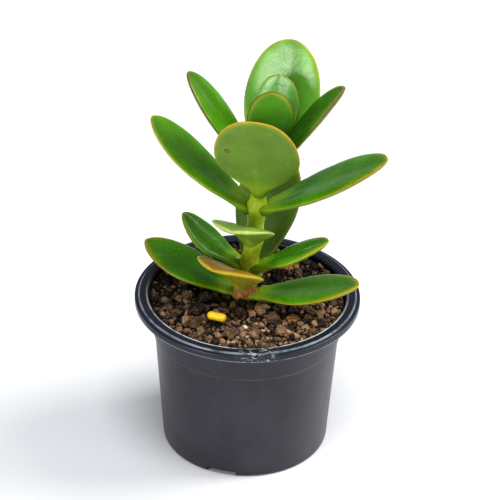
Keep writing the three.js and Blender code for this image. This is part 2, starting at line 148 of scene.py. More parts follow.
class Bench:
    """Builds one material out of shader nodes."""

    def __init__(self, name: str) -> None:
        """Starts a material with a Principled shader on its output."""
        self.material = bpy.data.materials.new(name)
        self.material.use_nodes = True
        self.tree = self.material.node_tree
        self.tree.nodes.clear()
        self.shader = self.node("ShaderNodeBsdfPrincipled")
        self.node("ShaderNodeOutputMaterial", inputs={"Surface": self.shader.out()})

    def node(
        self, kind: str, settings: dict[str, Any] | None = None, inputs: dict[Any, Any] | None = None
    ) -> Part:
        """Adds any node.

        Args:
            kind: the node's type.
            settings: the node's own settings, which are set first. "stops" holds a ramp's stops.
            inputs: a wire or a plain value for each named or numbered input socket.

        Returns:
            The new node.
        """
        body = self.tree.nodes.new(kind)
        for name, value in (settings or {}).items():
            if name == "stops":
                self._set_stops(body.color_ramp, value)
            else:
                setattr(body, name, value)
        for name, value in (inputs or {}).items():
            socket = body.inputs[name]
            if isinstance(value, Wire):
                self.tree.links.new(value.socket, socket)
            elif socket.type == "RGBA" and len(value) == 3:
                socket.default_value = (*value, 1.0)
            else:
                socket.default_value = value
        return Part(self, body)

    @staticmethod
    def _set_stops(ramp: bpy.types.ColorRamp, stops: Sequence[tuple[float, Colour]]) -> None:
        """Sets a colour ramp's stops."""
        while len(ramp.elements) < len(stops):
            ramp.elements.new(1.0)
        for element, (place, colour) in zip(ramp.elements, stops):
            element.position = place
            element.color = (*colour, 1.0)

    def attribute(self, name: str) -> Wire:
        """The wire of a number stored on the mesh."""
        return self.node("ShaderNodeAttribute", {"attribute_name": name}).out("Fac")

    def place(self) -> Wire:
        """The wire of the point on the piece, in metres."""
        return self.node("ShaderNodeTexCoord").out("Object")

    def axes(self) -> tuple[Wire, Wire, Wire]:
        """The wires of x, y and z of the point on the piece."""
        split = self.node("ShaderNodeSeparateXYZ", inputs={0: self.place()})
        return split.out(0), split.out(1), split.out(2)

    def noise(
        self, size: float, detail: float = 3.0, rough: float = 0.55, stretch: Colour | None = None
    ) -> Wire:
        """Cloudy noise.

        Args:
            size: the size of its blotches, in metres.
            detail: how many finer layers it has.
            rough: how strong the finer layers are.
            stretch: factors that squeeze the pattern along each axis.

        Returns:
            A wire from 0 to 1.
        """
        point = self.place()
        if stretch:
            point = self.node("ShaderNodeMapping", inputs={"Vector": point, "Scale": stretch}).out()
        inputs = {"Vector": point, "Scale": 1.0 / size, "Detail": detail, "Roughness": rough}
        return self.node("ShaderNodeTexNoise", inputs=inputs).out("Fac")

    def cells(self, size: float) -> Wire:
        """Distance to the nearest of many scattered points, for grains and dots."""
        inputs = {"Vector": self.place(), "Scale": 1.0 / size}
        return self.node("ShaderNodeTexVoronoi", inputs=inputs).out("Distance")

    def blend(self, amount: Any, first: Any, second: Any) -> Wire:
        """Mixes two colours.

        Args:
            amount: how much of the second colour, as a wire or a number.
            first: a colour or a wire of one.
            second: a colour or a wire of one.

        Returns:
            The wire of the mixed colour.
        """
        settings = {"data_type": "RGBA", "clamp_factor": True}
        return self.node("ShaderNodeMix", settings, {0: amount, 6: first, 7: second}).out(2)

    def gradient(self, amount: Wire, stops: Sequence[tuple[float, Colour]]) -> Wire:
        """The wire of a colour picked from a ramp."""
        return self.node("ShaderNodeValToRGB", {"stops": stops}, {0: amount}).out("Color")

    def relief(self, height: Wire, depth: float, strength: float = 1.0, under: Wire | None = None) -> Wire:
        """Turns a height into a bumped normal.

        Args:
            height: the height, from 0 to 1.
            depth: what a height of 1 means, in metres.
            strength: how much of the bump shows.
            under: the normal of a coarser bump, to lie on.

        Returns:
            The wire of the normal.
        """
        inputs: dict[Any, Any] = {"Height": height, "Distance": depth, "Strength": strength}
        if under is not None:
            inputs["Normal"] = under
        return self.node("ShaderNodeBump", inputs=inputs).out()

    def dress(self, piece: bpy.types.Object, **sockets: Any) -> None:
        """Sets the shader's sockets and gives the material to a piece.

        Args:
            piece: the object to dress.
            sockets: socket names with underscores for spaces, and a wire or a plain value for each.
        """
        for name, value in sockets.items():
            socket = self.shader.body.inputs[name.replace("_", " ")]
            if isinstance(value, Wire):
                self.tree.links.new(value.socket, socket)
            elif socket.type == "RGBA":
                socket.default_value = (*value, 1.0)
            else:
                socket.default_value = value
        piece.data.materials.clear()
        piece.data.materials.append(self.material)


# ---------------------------------------------------------------- modelling by hand
def clear_selection() -> None:
    """Leaves edit mode and deselects every object."""
    if bpy.context.mode != "OBJECT":
        bpy.ops.object.mode_set(mode="OBJECT")
    bpy.ops.object.select_all(action="DESELECT")


def pick(piece: bpy.types.Object) -> None:
    """Makes a piece the only selected object, and the active one."""
    clear_selection()
    piece.select_set(True)
    bpy.context.view_layer.objects.active = piece


def new_primitive(name: str, add: Any, **settings: Any) -> bpy.types.Object:
    """Adds a primitive mesh.

    Args:
        name: the new piece's name.
        add: the bpy.ops call that adds it.
        settings: that call's arguments.

    Returns:
        The new object, selected and active.
    """
    clear_selection()
    add(**settings)
    piece = bpy.context.active_object
    piece.name = piece.data.name = name
    return piece


def keep_place(piece: bpy.types.Object, matrix: Matrix) -> None:
    """Moves a piece, then writes its place into its mesh so that its object sits at the origin.

    Args:
        piece: the object.
        matrix: where it goes.
    """
    pick(piece)
    piece.matrix_world = matrix
    bpy.ops.object.transform_apply(location=True, rotation=True, scale=True)


def roughen(piece: bpy.types.Object, size: float, depth: float, seed: int) -> None:
    """Presses cloudy dents and bulges into a piece.

    Args:
        piece: the object.
        size: the size of the dents, in metres.
        depth: how far they go, in metres, from the lowest to the highest.
        seed: shifts the pattern, so that pieces differ.
    """
    pick(piece)
    clouds = bpy.data.textures.new(f"{piece.name}_clouds", "CLOUDS")
    clouds.noise_scale = size
    clouds.noise_depth = 2
    press = piece.modifiers.new("roughen", "DISPLACE")
    press.texture = clouds
    press.strength = depth
    press.mid_level = 0.5
    marker = bpy.data.objects.new("roughen_marker", None)
    bpy.context.collection.objects.link(marker)
    marker.location = Vector(PATTERN_STEP) * seed
    bpy.context.view_layer.update()
    press.texture_coords = "OBJECT"
    press.texture_coords_object = marker
    bpy.ops.object.modifier_apply(modifier=press.name)
    bpy.data.objects.remove(marker)


def shade(piece: bpy.types.Object, angle: float | None = None) -> None:
    """Smooths a piece's shading, all over or only where its faces meet at less than an angle in degrees."""
    pick(piece)
    if angle is None:
        bpy.ops.object.shade_smooth()
    else:
        bpy.ops.object.shade_smooth_by_angle(angle=math.radians(angle))


def store(piece: bpy.types.Object, name: str, values: np.ndarray) -> None:
    """Stores one number for each vertex of a piece, for its material to read."""
    layer = piece.data.attributes.new(name, "FLOAT", "POINT")
    layer.data.foreach_set("value", values.astype(np.float32))


def points_of(piece: bpy.types.Object) -> np.ndarray:
    """The places of a piece's vertices, one row each."""
    flat = np.empty(len(piece.data.vertices) * 3, dtype=np.float64)
    piece.data.vertices.foreach_get("co", flat)
    return flat.reshape(-1, 3)


class Loft:
    """A skin drawn out of one ring, extrusion by extrusion."""

    def __init__(self, name: str, ring: np.ndarray) -> None:
        """Starts from a circle, pressed into the shape of the first ring.

        Args:
            name: the new piece's name.
            ring: the first ring's points, one row each.
        """
        self.piece = new_primitive(name, bpy.ops.mesh.primitive_circle_add, vertices=len(ring), radius=1.0)
        self.piece.data.vertices.foreach_set("co", ring.ravel())
        self.size = len(ring)
        pick(self.piece)
        bpy.ops.object.mode_set(mode="EDIT")
        bpy.ops.mesh.select_all(action="SELECT")

    def draw(self, step: Sequence[float], scale: Sequence[float], centre: Sequence[float]) -> None:
        """Extrudes the last ring, moves it by a step and scales it about a centre."""
        bpy.ops.mesh.extrude_edges_move(TRANSFORM_OT_translate={"value": tuple(step)})
        bpy.ops.transform.resize(value=tuple(scale), center_override=tuple(centre))

    def close(self, cap_start: bool = True) -> bpy.types.Object:
        """Welds the last ring to a point, closes the first one and turns the faces outwards.

        Args:
            cap_start: whether the first ring gets a cap of its own; if not, it is welded to a point.

        Returns:
            The finished object, in object mode.
        """
        bpy.ops.mesh.merge(type="CENTER")
        bpy.ops.mesh.select_all(action="DESELECT")
        shape = bmesh.from_edit_mesh(self.piece.data)
        shape.verts.ensure_lookup_table()
        for vertex in shape.verts[: self.size]:
            vertex.select_set(True)
        shape.select_flush(True)
        bmesh.update_edit_mesh(self.piece.data)
        if cap_start:
            bpy.ops.mesh.edge_face_add()
        else:
            bpy.ops.mesh.merge(type="CENTER")
        bpy.ops.mesh.select_all(action="SELECT")
        bpy.ops.mesh.remove_doubles(threshold=1e-7)
        bpy.ops.mesh.normals_make_consistent(inside=False)
        bpy.ops.object.mode_set(mode="OBJECT")
        return self.piece


def turned(name: str, outline: Sequence[tuple[float, float]], sides: int) -> bpy.types.Object:
    """Turns an outline about the upright axis, as on a lathe.

    Args:
        name: the new piece's name.
        outline: (radius, height) pairs from one point near the axis to another.
        sides: how many sides a ring has.

    Returns:
        The closed solid.
    """
    radius, height = outline[0]
    angle = np.arange(sides) * 2 * math.pi / sides
    ring = np.stack([radius * np.cos(angle), radius * np.sin(angle), np.full(sides, height)], axis=1)
    loft = Loft(name, ring)
    for next_radius, next_height in outline[1:]:
        grow = next_radius / radius
        loft.draw((0, 0, next_height - height), (grow, grow, 1), (0, 0, next_height))
        radius, height = next_radius, next_height
    return loft.close(cap_start=False)


def smooth_through(known: np.ndarray, values: np.ndarray, wanted: np.ndarray) -> np.ndarray:
    """A smooth curve through known values, read at the wanted places.

    Args:
        known: where the values are known, rising.
        values: the values there.
        wanted: where the curve is read.

    Returns:
        The curve's values.
    """
    slope = np.gradient(values, known)
    index = np.clip(np.searchsorted(known, wanted) - 1, 0, len(known) - 2)
    gap = known[index + 1] - known[index]
    t = np.clip((wanted - known[index]) / gap, 0, 1)
    start, end = values[index], values[index + 1]
    rise, fall = slope[index] * gap, slope[index + 1] * gap
    leaving = start * (2 * t**3 - 3 * t**2 + 1) + rise * (t**3 - 2 * t**2 + t)
    return leaving + end * (3 * t**2 - 2 * t**3) + fall * (t**3 - t**2)


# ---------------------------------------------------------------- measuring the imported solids
def solid_triangles(node: str) -> np.ndarray:
    """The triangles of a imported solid, as an array of (triangle, corner, xyz)."""
    mesh = frame["nodes"][node].data
    mesh.calc_loop_triangles()
    corners = np.empty(len(mesh.loop_triangles) * 3, dtype=np.int64)
    mesh.loop_triangles.foreach_get("vertices", corners)
    return points_of(frame["nodes"][node])[corners].reshape(-1, 3, 3)


def cut(triangles: np.ndarray, axis: int, level: float) -> np.ndarray:
    """The points where a solid's edges cross a plane.

    Args:
        triangles: the solid's triangles.
        axis: 0, 1 or 2, the axis that the plane is square to.
        level: where the plane stands on that axis.

    Returns:
        The points, one row each.
    """
    ahead = np.roll(triangles, -1, axis=1)
    near, far = triangles[..., axis] - level, ahead[..., axis] - level
    crossing = near * far < 0
    share = near[crossing] / (near[crossing] - far[crossing])
    return triangles[crossing] + (ahead[crossing] - triangles[crossing]) * share[:, None]


@dataclass(frozen=True)
class StemLine:
    """The stem's centre line and thickness, by height."""

    height: np.ndarray
    centre: np.ndarray
    radius: np.ndarray

    @classmethod
    def measured(cls, node: str, steps: int = 56) -> "StemLine":
        """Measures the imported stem.

        Args:
            node: the stem's node.
            steps: how many heights to measure at.

        Returns:
            The measured line.
        """
        triangles = solid_triangles(node)
        low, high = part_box(node)
        margin = 0.2 * MM
        height = np.linspace(low[2] + margin, high[2] - margin, steps)
        centre, radius = [], []
        for level in height:
            ring = cut(triangles, 2, level)[:, :2]
            middle = (ring.min(axis=0) + ring.max(axis=0)) / 2
            centre.append(middle)
            radius.append(np.linalg.norm(ring - middle, axis=1).mean())
        return cls(height, np.array(centre), np.array(radius))

    def at(self, level: float) -> tuple[Vector, float]:
        """The centre and the radius at a height."""
        x = np.interp(level, self.height, self.centre[:, 0])
        y = np.interp(level, self.height, self.centre[:, 1])
        return Vector((x, y, level)), float(np.interp(level, self.height, self.radius))


@dataclass(frozen=True)
class LeafForm:
    """A packed leaf's measured shape, along the chord from its base to its tip.

    Attributes:
        place: turns leaf space (x along the chord, y across, z out of the upper face) into the frame.
        length: the chord's length.
        turn: where each measured section stands, from 0 at the base to pi at the tip.
        half_width: half the blade's width at each section.
        aside: how far the blade's middle lies to the side at each section.
        height: how far the blade's middle rises over the chord at each section.
        half_thickness: half the thickness on the midrib at each section.
    """

    place: Matrix
    length: float
    turn: np.ndarray
    half_width: np.ndarray
    aside: np.ndarray
    height: np.ndarray
    half_thickness: np.ndarray

    @classmethod
    def measured(cls, node: str, stem: StemLine, sections: int = 15) -> "LeafForm":
        """Measures a packed leaf.

        Args:
            node: the leaf's node.
            stem: the stem that it grows from.
            sections: how many sections to measure, ends included.

        Returns:
            The measured form.
        """
        triangles = solid_triangles(node)
        corners = triangles.reshape(-1, 3)
        level = corners[:, 2]
        along_stem = np.stack([np.interp(level, stem.height, stem.centre[:, i]) for i in (0, 1)], axis=1)
        over_top = np.maximum(0, level - stem.height[-1])
        reach = np.linalg.norm(corners[:, :2] - along_stem, axis=1) + over_top
        base = corners[reach.argmin()]
        tip = corners[np.linalg.norm(corners - base, axis=1).argmax()]
        chord = (tip - base) / np.linalg.norm(tip - base)
        spread = corners - base - np.outer((corners - base) @ chord, chord)
        across = np.linalg.svd(spread - spread.mean(axis=0), full_matrices=False)[2][0]
        across -= chord * (across @ chord)
        across /= np.linalg.norm(across)
        out = np.cross(chord, across)
        away = base[:2] - along_stem[reach.argmin()]
        away = np.append(away / max(np.linalg.norm(away), 1e-9), 0)
        upper = -away * chord[2] + np.array([0, 0, max(0.0, float(chord @ away))])
        if out @ upper < 0:
            across, out = -across, -out
        turn_to_leaf = np.stack([chord, across, out])
        local = (triangles - base) @ turn_to_leaf.T
        length = local[..., 0].max()
        rows = []
        for turn in np.linspace(0, math.pi, sections)[1:-1]:
            ring = cut(local, 0, length * (1 - math.cos(turn)) / 2)
            half_width = np.ptp(ring[:, 1]) / 2
            aside = ring[:, 1].min() + half_width
            midrib = ring[np.abs(ring[:, 1] - aside) < 0.4 * half_width][:, 2]
            rows.append((turn, half_width, aside, (midrib.max() + midrib.min()) / 2, np.ptp(midrib) / 2))
        table = np.array(rows)
        last = table[-1].copy()
        end = np.array([math.pi, 0.0, last[2], 2 * last[3] - table[-2][3], 0.0])
        table = np.vstack([table, end])
        place = Matrix.Translation(Vector(base)) @ Matrix(turn_to_leaf.T.tolist()).to_4x4()
        return cls(place, float(length), *table.T)


# ---------------------------------------------------------------- leaves
class Joint(Enum):
    """How far a leaf's base spreads where it meets the stem, as a share of its width."""

    CLASPING = 0.38
    BROAD = 0.0
    SLIM = 0.05

    @classmethod
    def of(cls, node: str) -> "Joint":
        """The joint of a leaf: front leaves are slim at the base, and the longest pair is broad already."""
        if node.endswith("front") or node == "shoot_tip":
            return cls.SLIM
        return cls.BROAD if node.startswith("leaf_5") else cls.CLASPING


@dataclass(frozen=True)
class LeafFinish:
    """The fleshy, waxy skin of one leaf.

    Attributes:
        upper: colour of the upper face.
        under: colour of the underside.
        rim: colour of the thin line along the edge.
        flush: colour that runs in from the edge towards the tip, where the sun has stained the leaf.
        flush_reach: how far the stain runs in, in millimetres.
        flush_amount: how strong the stain is.
        rim_width: width of the rim line, in millimetres.
        gloss: roughness of the upper face.
        shine: how strongly the wax reflects.
        mottle: how blotchy the skin is.
        depth: how much darker the middle of the upper face is.
        spot: (along, across) place of a small ring scar on the underside, or None.
        freckles: how many of the edge's corky freckles show.
        throat: colour of the pale base.
        dot: colour of the fine dots.
        freckle: colour of the corky freckles.
        scar: colour of the ring scar.
        bloom: colour that pales the skin just inside the rim line.
    """

    upper: Colour = (0.056, 0.225, 0.002)
    under: Colour = (0.135, 0.270, 0.012)
    rim: Colour = (0.230, 0.120, 0.020)
    flush: Colour = (0.330, 0.260, 0.012)
    flush_reach: float = 2.4
    flush_amount: float = 0.45
    rim_width: float = 0.38
    gloss: float = 0.23
    shine: float = 0.30
    mottle: float = 0.55
    depth: float = 0.42
    spot: tuple[float, float] | None = None
    freckles: float = 0.0
    throat: Colour = (0.270, 0.400, 0.024)
    dot: Colour = (0.40, 0.60, 0.15)
    freckle: Colour = (0.260, 0.070, 0.010)
    scar: Colour = (0.120, 0.055, 0.012)
    bloom: Colour = (0.42, 0.52, 0.05)

    def dress(self, piece: bpy.types.Object, form: LeafForm) -> None:
        """Gives a leaf its skin.

        Args:
            piece: the leaf, with its stored "along", "across", "upper" and "rim" numbers.
            form: the leaf's measured form.
        """
        bench = Bench(f"{piece.name}_skin")
        along, upper = bench.attribute("along"), bench.attribute("upper")
        cloud = bench.noise(9 * MM, detail=4)
        grain = bench.noise(0.9 * MM, detail=2)
        streak = bench.noise(2.2 * MM, detail=3, rough=0.6)
        skin = self._flesh(bench, along, upper, cloud, streak)
        skin = self._marks(bench, skin, along, cloud, form)
        skin = self._edge(bench, skin, along, streak)

        rough = (cloud - 0.5) * 0.16 + (1 - upper) * 0.14 + self.gloss + grain * 0.05
        ripple = bench.relief(cloud, 0.7 * MM, 0.45)
        pores = bench.relief(bench.cells(0.6 * MM) * 0.6 + grain * 0.4, 0.06 * MM, 0.45, under=ripple)
        bench.dress(
            piece,
            Base_Color=skin,
            Roughness=rough.clamped(),
            Normal=pores,
            Subsurface_Weight=0.12,
            Subsurface_Radius=(0.5, 1.0, 0.1),
            Subsurface_Scale=1.2 * MM,
            Specular_IOR_Level=self.shine,
            IOR=1.42,
        )

    def _flesh(self, bench: Bench, along: Wire, upper: Wire, cloud: Wire, streak: Wire) -> Wire:
        """The green of both faces, with its blotches, its darker middle, its midrib, its dots and its base.

        Args:
            bench: the bench that the skin is made on.
            along: how far along the leaf.
            upper: 1 on the upper face and 0 on the underside.
            cloud: the skin's large blotches.
            streak: the skin's small blotches.

        Returns:
            The wire of the colour.
        """
        across = abs(bench.attribute("across"))
        lighter = tuple(min(1.0, c * 1.75 + 0.015) for c in self.upper)
        darker = tuple(c * 0.45 for c in self.upper)
        skin = bench.blend(upper, self.under, self.upper)
        skin = bench.blend(cloud.ramp(0.40, 0.72) * (0.50 * self.mottle), skin, lighter)
        skin = bench.blend(cloud.ramp(0.52, 0.25) * (0.45 * self.mottle), skin, darker)
        skin = bench.blend(streak.ramp(0.52, 0.78) * 0.22, skin, lighter)
        body = across.ramp(0.95, 0.25) * upper * along.ramp(0.02, 0.3) * self.depth
        skin = bench.blend(body, skin, darker)
        skin = bench.blend(across.ramp(0.12, 0.02) * along.ramp(0.7, 0.1) * 0.25, skin, lighter)
        patches = bench.noise(3.2 * MM, detail=2).ramp(0.38, 0.56)
        dots = bench.cells(0.95 * MM).ramp(0.24, 0.10) * patches
        skin = bench.blend(dots * (upper * 0.34 + 0.12), skin, self.dot)
        return bench.blend(along.ramp(0.26, 0.02) * 0.70, skin, self.throat)

    def _marks(self, bench: Bench, skin: Wire, along: Wire, cloud: Wire, form: LeafForm) -> Wire:
        """Adds the sun's stain, the freckles and the ring scar to the skin.

        Args:
            bench: the bench that the skin is made on.
            skin: the colour so far.
            along: how far along the leaf.
            cloud: the skin's large blotches.
            form: the leaf's measured form.

        Returns:
            The wire of the colour.
        """
        edge = bench.attribute("rim")
        stained = edge.ramp(self.flush_reach, 0.2) * along.ramp(0.45, 0.95) * (cloud * 0.9 + 0.45)
        skin = bench.blend(stained * self.flush_amount, skin, self.flush)
        if self.freckles:
            corky = bench.cells(1.5 * MM).ramp(0.46, 0.30) * edge.ramp(2.6, 1.2) * along.ramp(0.58, 0.78)
            skin = bench.blend(corky * self.freckles, skin, self.freckle)
        if self.spot is not None:
            skin = bench.blend(self._scar(bench, along, bench.attribute("across"), form), skin, self.scar)
        return skin

    def _edge(self, bench: Bench, skin: Wire, along: Wire, streak: Wire) -> Wire:
        """Adds the thin, broken rim line and the paler skin beside it."""
        edge = bench.attribute("rim")
        pale = tuple(0.3 * a + 0.7 * b for a, b in zip(self.upper, self.bloom))
        skin = bench.blend(edge.ramp(self.rim_width * 3.2, self.rim_width) * 0.18, skin, pale)
        line = edge.ramp(self.rim_width, self.rim_width * 0.35) * along.ramp(0.08, 0.35)
        return bench.blend(line * (streak * 1.1 + 0.15), skin, self.rim)

    def _scar(self, bench: Bench, along: Wire, across: Wire, form: LeafForm) -> Wire:
        """The mask of the ring scar, on the underside only."""
        far = (along - self.spot[0]) * (form.length / MM)
        wide = (across - self.spot[1]) * (float(form.half_width.max()) / MM)
        distance = (far * far + wide * wide) ** 0.5
        ring = distance.ramp(1.45, 1.05) * (distance.ramp(0.35, 0.85) * 0.75 + 0.25)
        return ring * (1 - bench.attribute("upper")) * 0.85


@dataclass
class Leaf:
    """One fleshy leaf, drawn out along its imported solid."""

    node: str
    finish: LeafFinish
    joint: Joint
    section_points: int = 40
    sections: int = 46
    plumpness: float = 0.60
    rim_sharpness: float = 2.6
    cup: float = 0.05
    root_depth: float = 3.5 * MM
    root_width: float = 3.9 * MM
    flare_reach: float = 3.4 * MM
    waviness: float = 0.34 * MM
    first_turn: float = 0.9
    last_turn: float = 0.992
    flare_thick: float = 0.25
    heel: tuple[float, float] = (0.96, 1.2)
    groove_depth: float = 0.20
    groove_width: float = 0.3

    def build(self, stem: StemLine) -> bpy.types.Object:
        """Models and dresses the leaf.

        Args:
            stem: the stem that it grows from.

        Returns:
            The finished leaf.
        """
        form = LeafForm.measured(self.node, stem)
        turn = np.linspace(form.turn[0] * self.first_turn, math.pi * self.last_turn, self.sections)
        x = form.length * (1 - np.cos(turn)) / 2
        half_width = np.maximum(smooth_through(form.turn, form.half_width, turn), 0.05 * MM)
        aside = smooth_through(form.turn, form.aside, turn)
        height = smooth_through(form.turn, form.height, turn)
        half_thick = np.maximum(smooth_through(form.turn, form.half_thickness, turn), 0.03 * MM)
        ring = self._section(float(half_width.max() / half_thick.max()))
        flare = np.exp(-((x / self.flare_reach) ** 2))
        half_width = half_width * (1 + self.joint.value * flare)
        half_thick = half_thick * (1 + self.flare_thick * flare)

        heel = min(half_width[0] * self.heel[0], self.root_width), half_thick[0] * self.heel[1]
        start = np.array([-self.root_depth, aside[0], height[0]])
        loft = Loft(f"{self.node}_flesh", ring * np.array([1, *heel]) + start)
        at, wide, thick = start, *heel
        for k in range(self.sections):
            centre = np.array([x[k], aside[k], height[k]])
            loft.draw(centre - at, (1, half_width[k] / wide, half_thick[k] / thick), centre)
            at, wide, thick = centre, half_width[k], half_thick[k]
        piece = loft.close()
        self._mark(piece, form, x, half_width, aside)
        roughen(piece, size=11 * MM, depth=self.waviness, seed=sum(map(ord, self.node)) % 31 + 1)
        keep_place(piece, form.place)
        shade(piece)
        self.finish.dress(piece, form)
        return piece

    def _section(self, flatness: float) -> np.ndarray:
        """The leaf's cross-section, one unit wide and thick, with its upper groove and its cup.

        Args:
            flatness: the blade's width over its thickness.

        Returns:
            The ring's points, one row each.
        """
        angle = np.arange(self.section_points) * 2 * math.pi / self.section_points
        across, side = np.cos(angle), np.sign(np.round(np.sin(angle), 9))
        thick = (1 - np.abs(across) ** self.rim_sharpness).clip(0) ** self.plumpness
        groove = 1 - self.groove_depth * np.exp(-((across / self.groove_width) ** 2)) * (side > 0)
        cup = self.cup * 2 * flatness * (across**2 - 0.35)
        return np.stack([np.zeros_like(across), across, side * thick * groove + cup], axis=1)

    def _mark(
        self, piece: bpy.types.Object, form: LeafForm, x: np.ndarray, wide: np.ndarray, aside: np.ndarray
    ) -> None:
        """Stores where each point lies on the leaf, for its skin to read.

        Args:
            piece: the leaf, still in leaf space.
            form: its measured form.
            x: where each section stands.
            wide: half the width of each section.
            aside: the sideways place of each section's middle.
        """
        points = points_of(piece)
        half = np.interp(points[:, 0], x, wide)
        across = (points[:, 1] - np.interp(points[:, 0], x, aside)) / np.maximum(half, 1e-6)
        rings = np.arange(len(points)) // self.section_points
        steps = np.arange(len(points)) % self.section_points
        upper = np.sin(steps * 2 * math.pi / self.section_points)
        upper = np.where(rings > self.sections, 0.5, upper)
        slant = np.sqrt(1 + np.interp(points[:, 0], x, np.gradient(wide, x)) ** 2)
        store(piece, "along", (points[:, 0] / form.length).clip(0, 1))
        store(piece, "across", across.clip(-1, 1))
        store(piece, "upper", (upper * 3 + 0.5).clip(0, 1))
        store(piece, "rim", half * (1 - np.abs(across)).clip(0) / slant / MM)


# ---------------------------------------------------------------- stem
@dataclass(frozen=True)
class StemFinish:
    """The stem's skin: green above, brown and corky at the foot.

    Attributes:
        green: colour of the skin.
        pale: colour of its paler patches.
        streak: colour of its fine streaks.
        bark: colours of the cork's fibres, as (place, colour) stops.
        cork_from: where the cork begins, as a share of the stem over the soil.
        cork_to: where the cork has become whole.
    """

    green: Colour = (0.320, 0.440, 0.014)
    pale: Colour = (0.450, 0.560, 0.034)
    streak: Colour = (0.560, 0.640, 0.110)
    bark: tuple[tuple[float, Colour], ...] = (
        (0.30, (0.150, 0.060, 0.020)),
        (0.52, (0.360, 0.150, 0.050)),
        (0.72, (0.560, 0.320, 0.130)),
    )
    cork_from: float = 0.150
    cork_to: float = 0.085

    def dress(self, piece: bpy.types.Object) -> None:
        """Gives the stem its skin. The piece has a stored "rise" number."""
        bench = Bench("stem_skin")
        cloud = bench.noise(3.2 * MM, detail=4)
        fibre = bench.noise(1.6 * MM, detail=3, stretch=(3.0, 3.0, 0.7))
        skin = bench.blend(cloud.ramp(0.3, 0.7), self.green, self.pale)
        skin = bench.blend(fibre.ramp(0.52, 0.72) * 0.35, skin, self.streak)
        cork = (bench.attribute("rise") + (cloud - 0.5) * 0.06).ramp(self.cork_from, self.cork_to)
        skin = bench.blend(cork, skin, bench.gradient(fibre, list(self.bark)))
        coarse = bench.relief(fibre, 0.5 * MM, 0.55)
        bump = bench.relief(bench.cells(0.7 * MM), 0.06 * MM, 0.5, under=coarse)
        bench.dress(
            piece,
            Base_Color=skin,
            Roughness=(cork * 0.38 + cloud * 0.18 + 0.30).clamped(),
            Normal=bump,
            Specular_IOR_Level=0.35,
            Subsurface_Weight=0.08,
            Subsurface_Radius=(0.6, 1.0, 0.15),
            Subsurface_Scale=1.2 * MM,
        )


@dataclass
class Stem:
    """The fleshy stem, with a stout foot and a swelling where the broad pair of leaves joins."""

    sides: int = 36
    rings: int = 110
    flutes: int = 4
    flute_depth: float = 0.028
    flute_turn: float = 0.6
    ridge: float = 0.16 * MM
    foot_swell: float = 0.42
    foot_reach: float = 6.0 * MM
    joint_swell: float = 0.34
    joint_reach: float = 3.3 * MM
    joint_sag: float = 2.4 * MM
    broad_pair: tuple[str, str] = ("leaf_5_left", "leaf_5_right")
    finish: StemFinish = StemFinish()

    def build(self, line: StemLine, soil_height: float) -> bpy.types.Object:
        """Models and dresses the stem.

        Args:
            line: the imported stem's centre line and thickness.
            soil_height: the height of the soil around it.

        Returns:
            The finished stem.
        """
        heights = np.linspace(line.height[0], line.height[-1], self.rings)
        bases = [LeafForm.measured(node, line).place.translation.z for node in self.broad_pair]
        self.joint_rise = sum(bases) / len(bases) - soil_height - self.joint_sag
        angle = np.arange(self.sides) * 2 * math.pi / self.sides
        fluted = 1 + self.flute_depth * np.cos(self.flutes * angle + self.flute_turn)
        centre, radius = line.at(heights[0])
        radius *= self._stoutness(heights[0] - soil_height)
        ring = radius * np.stack([np.cos(angle) * fluted, np.sin(angle) * fluted, 0 * angle], axis=1)
        loft = Loft("stem_flesh", ring + np.array(centre))
        for level in heights[1:]:
            ahead, wide = line.at(level)
            wide *= self._stoutness(level - soil_height)
            grow = wide / radius
            loft.draw(ahead - centre, (grow, grow, 1), ahead)
            centre, radius = ahead, wide
        piece = loft.close(cap_start=False)
        roughen(piece, size=5 * MM, depth=self.ridge * 2, seed=3)
        shade(piece)
        points = points_of(piece)
        store(piece, "rise", (points[:, 2] - soil_height) / (line.height[-1] - soil_height))
        self.finish.dress(piece)
        return piece

    def _stoutness(self, rise: float) -> float:
        """How much the foot and the broad pair's joint thicken the stem at a height over the soil."""
        foot = self.foot_swell * math.exp(-((max(0.0, rise) / self.foot_reach) ** 2))
        joint = self.joint_swell * math.exp(-(((rise - self.joint_rise) / self.joint_reach) ** 2))
        return 1 + foot + joint


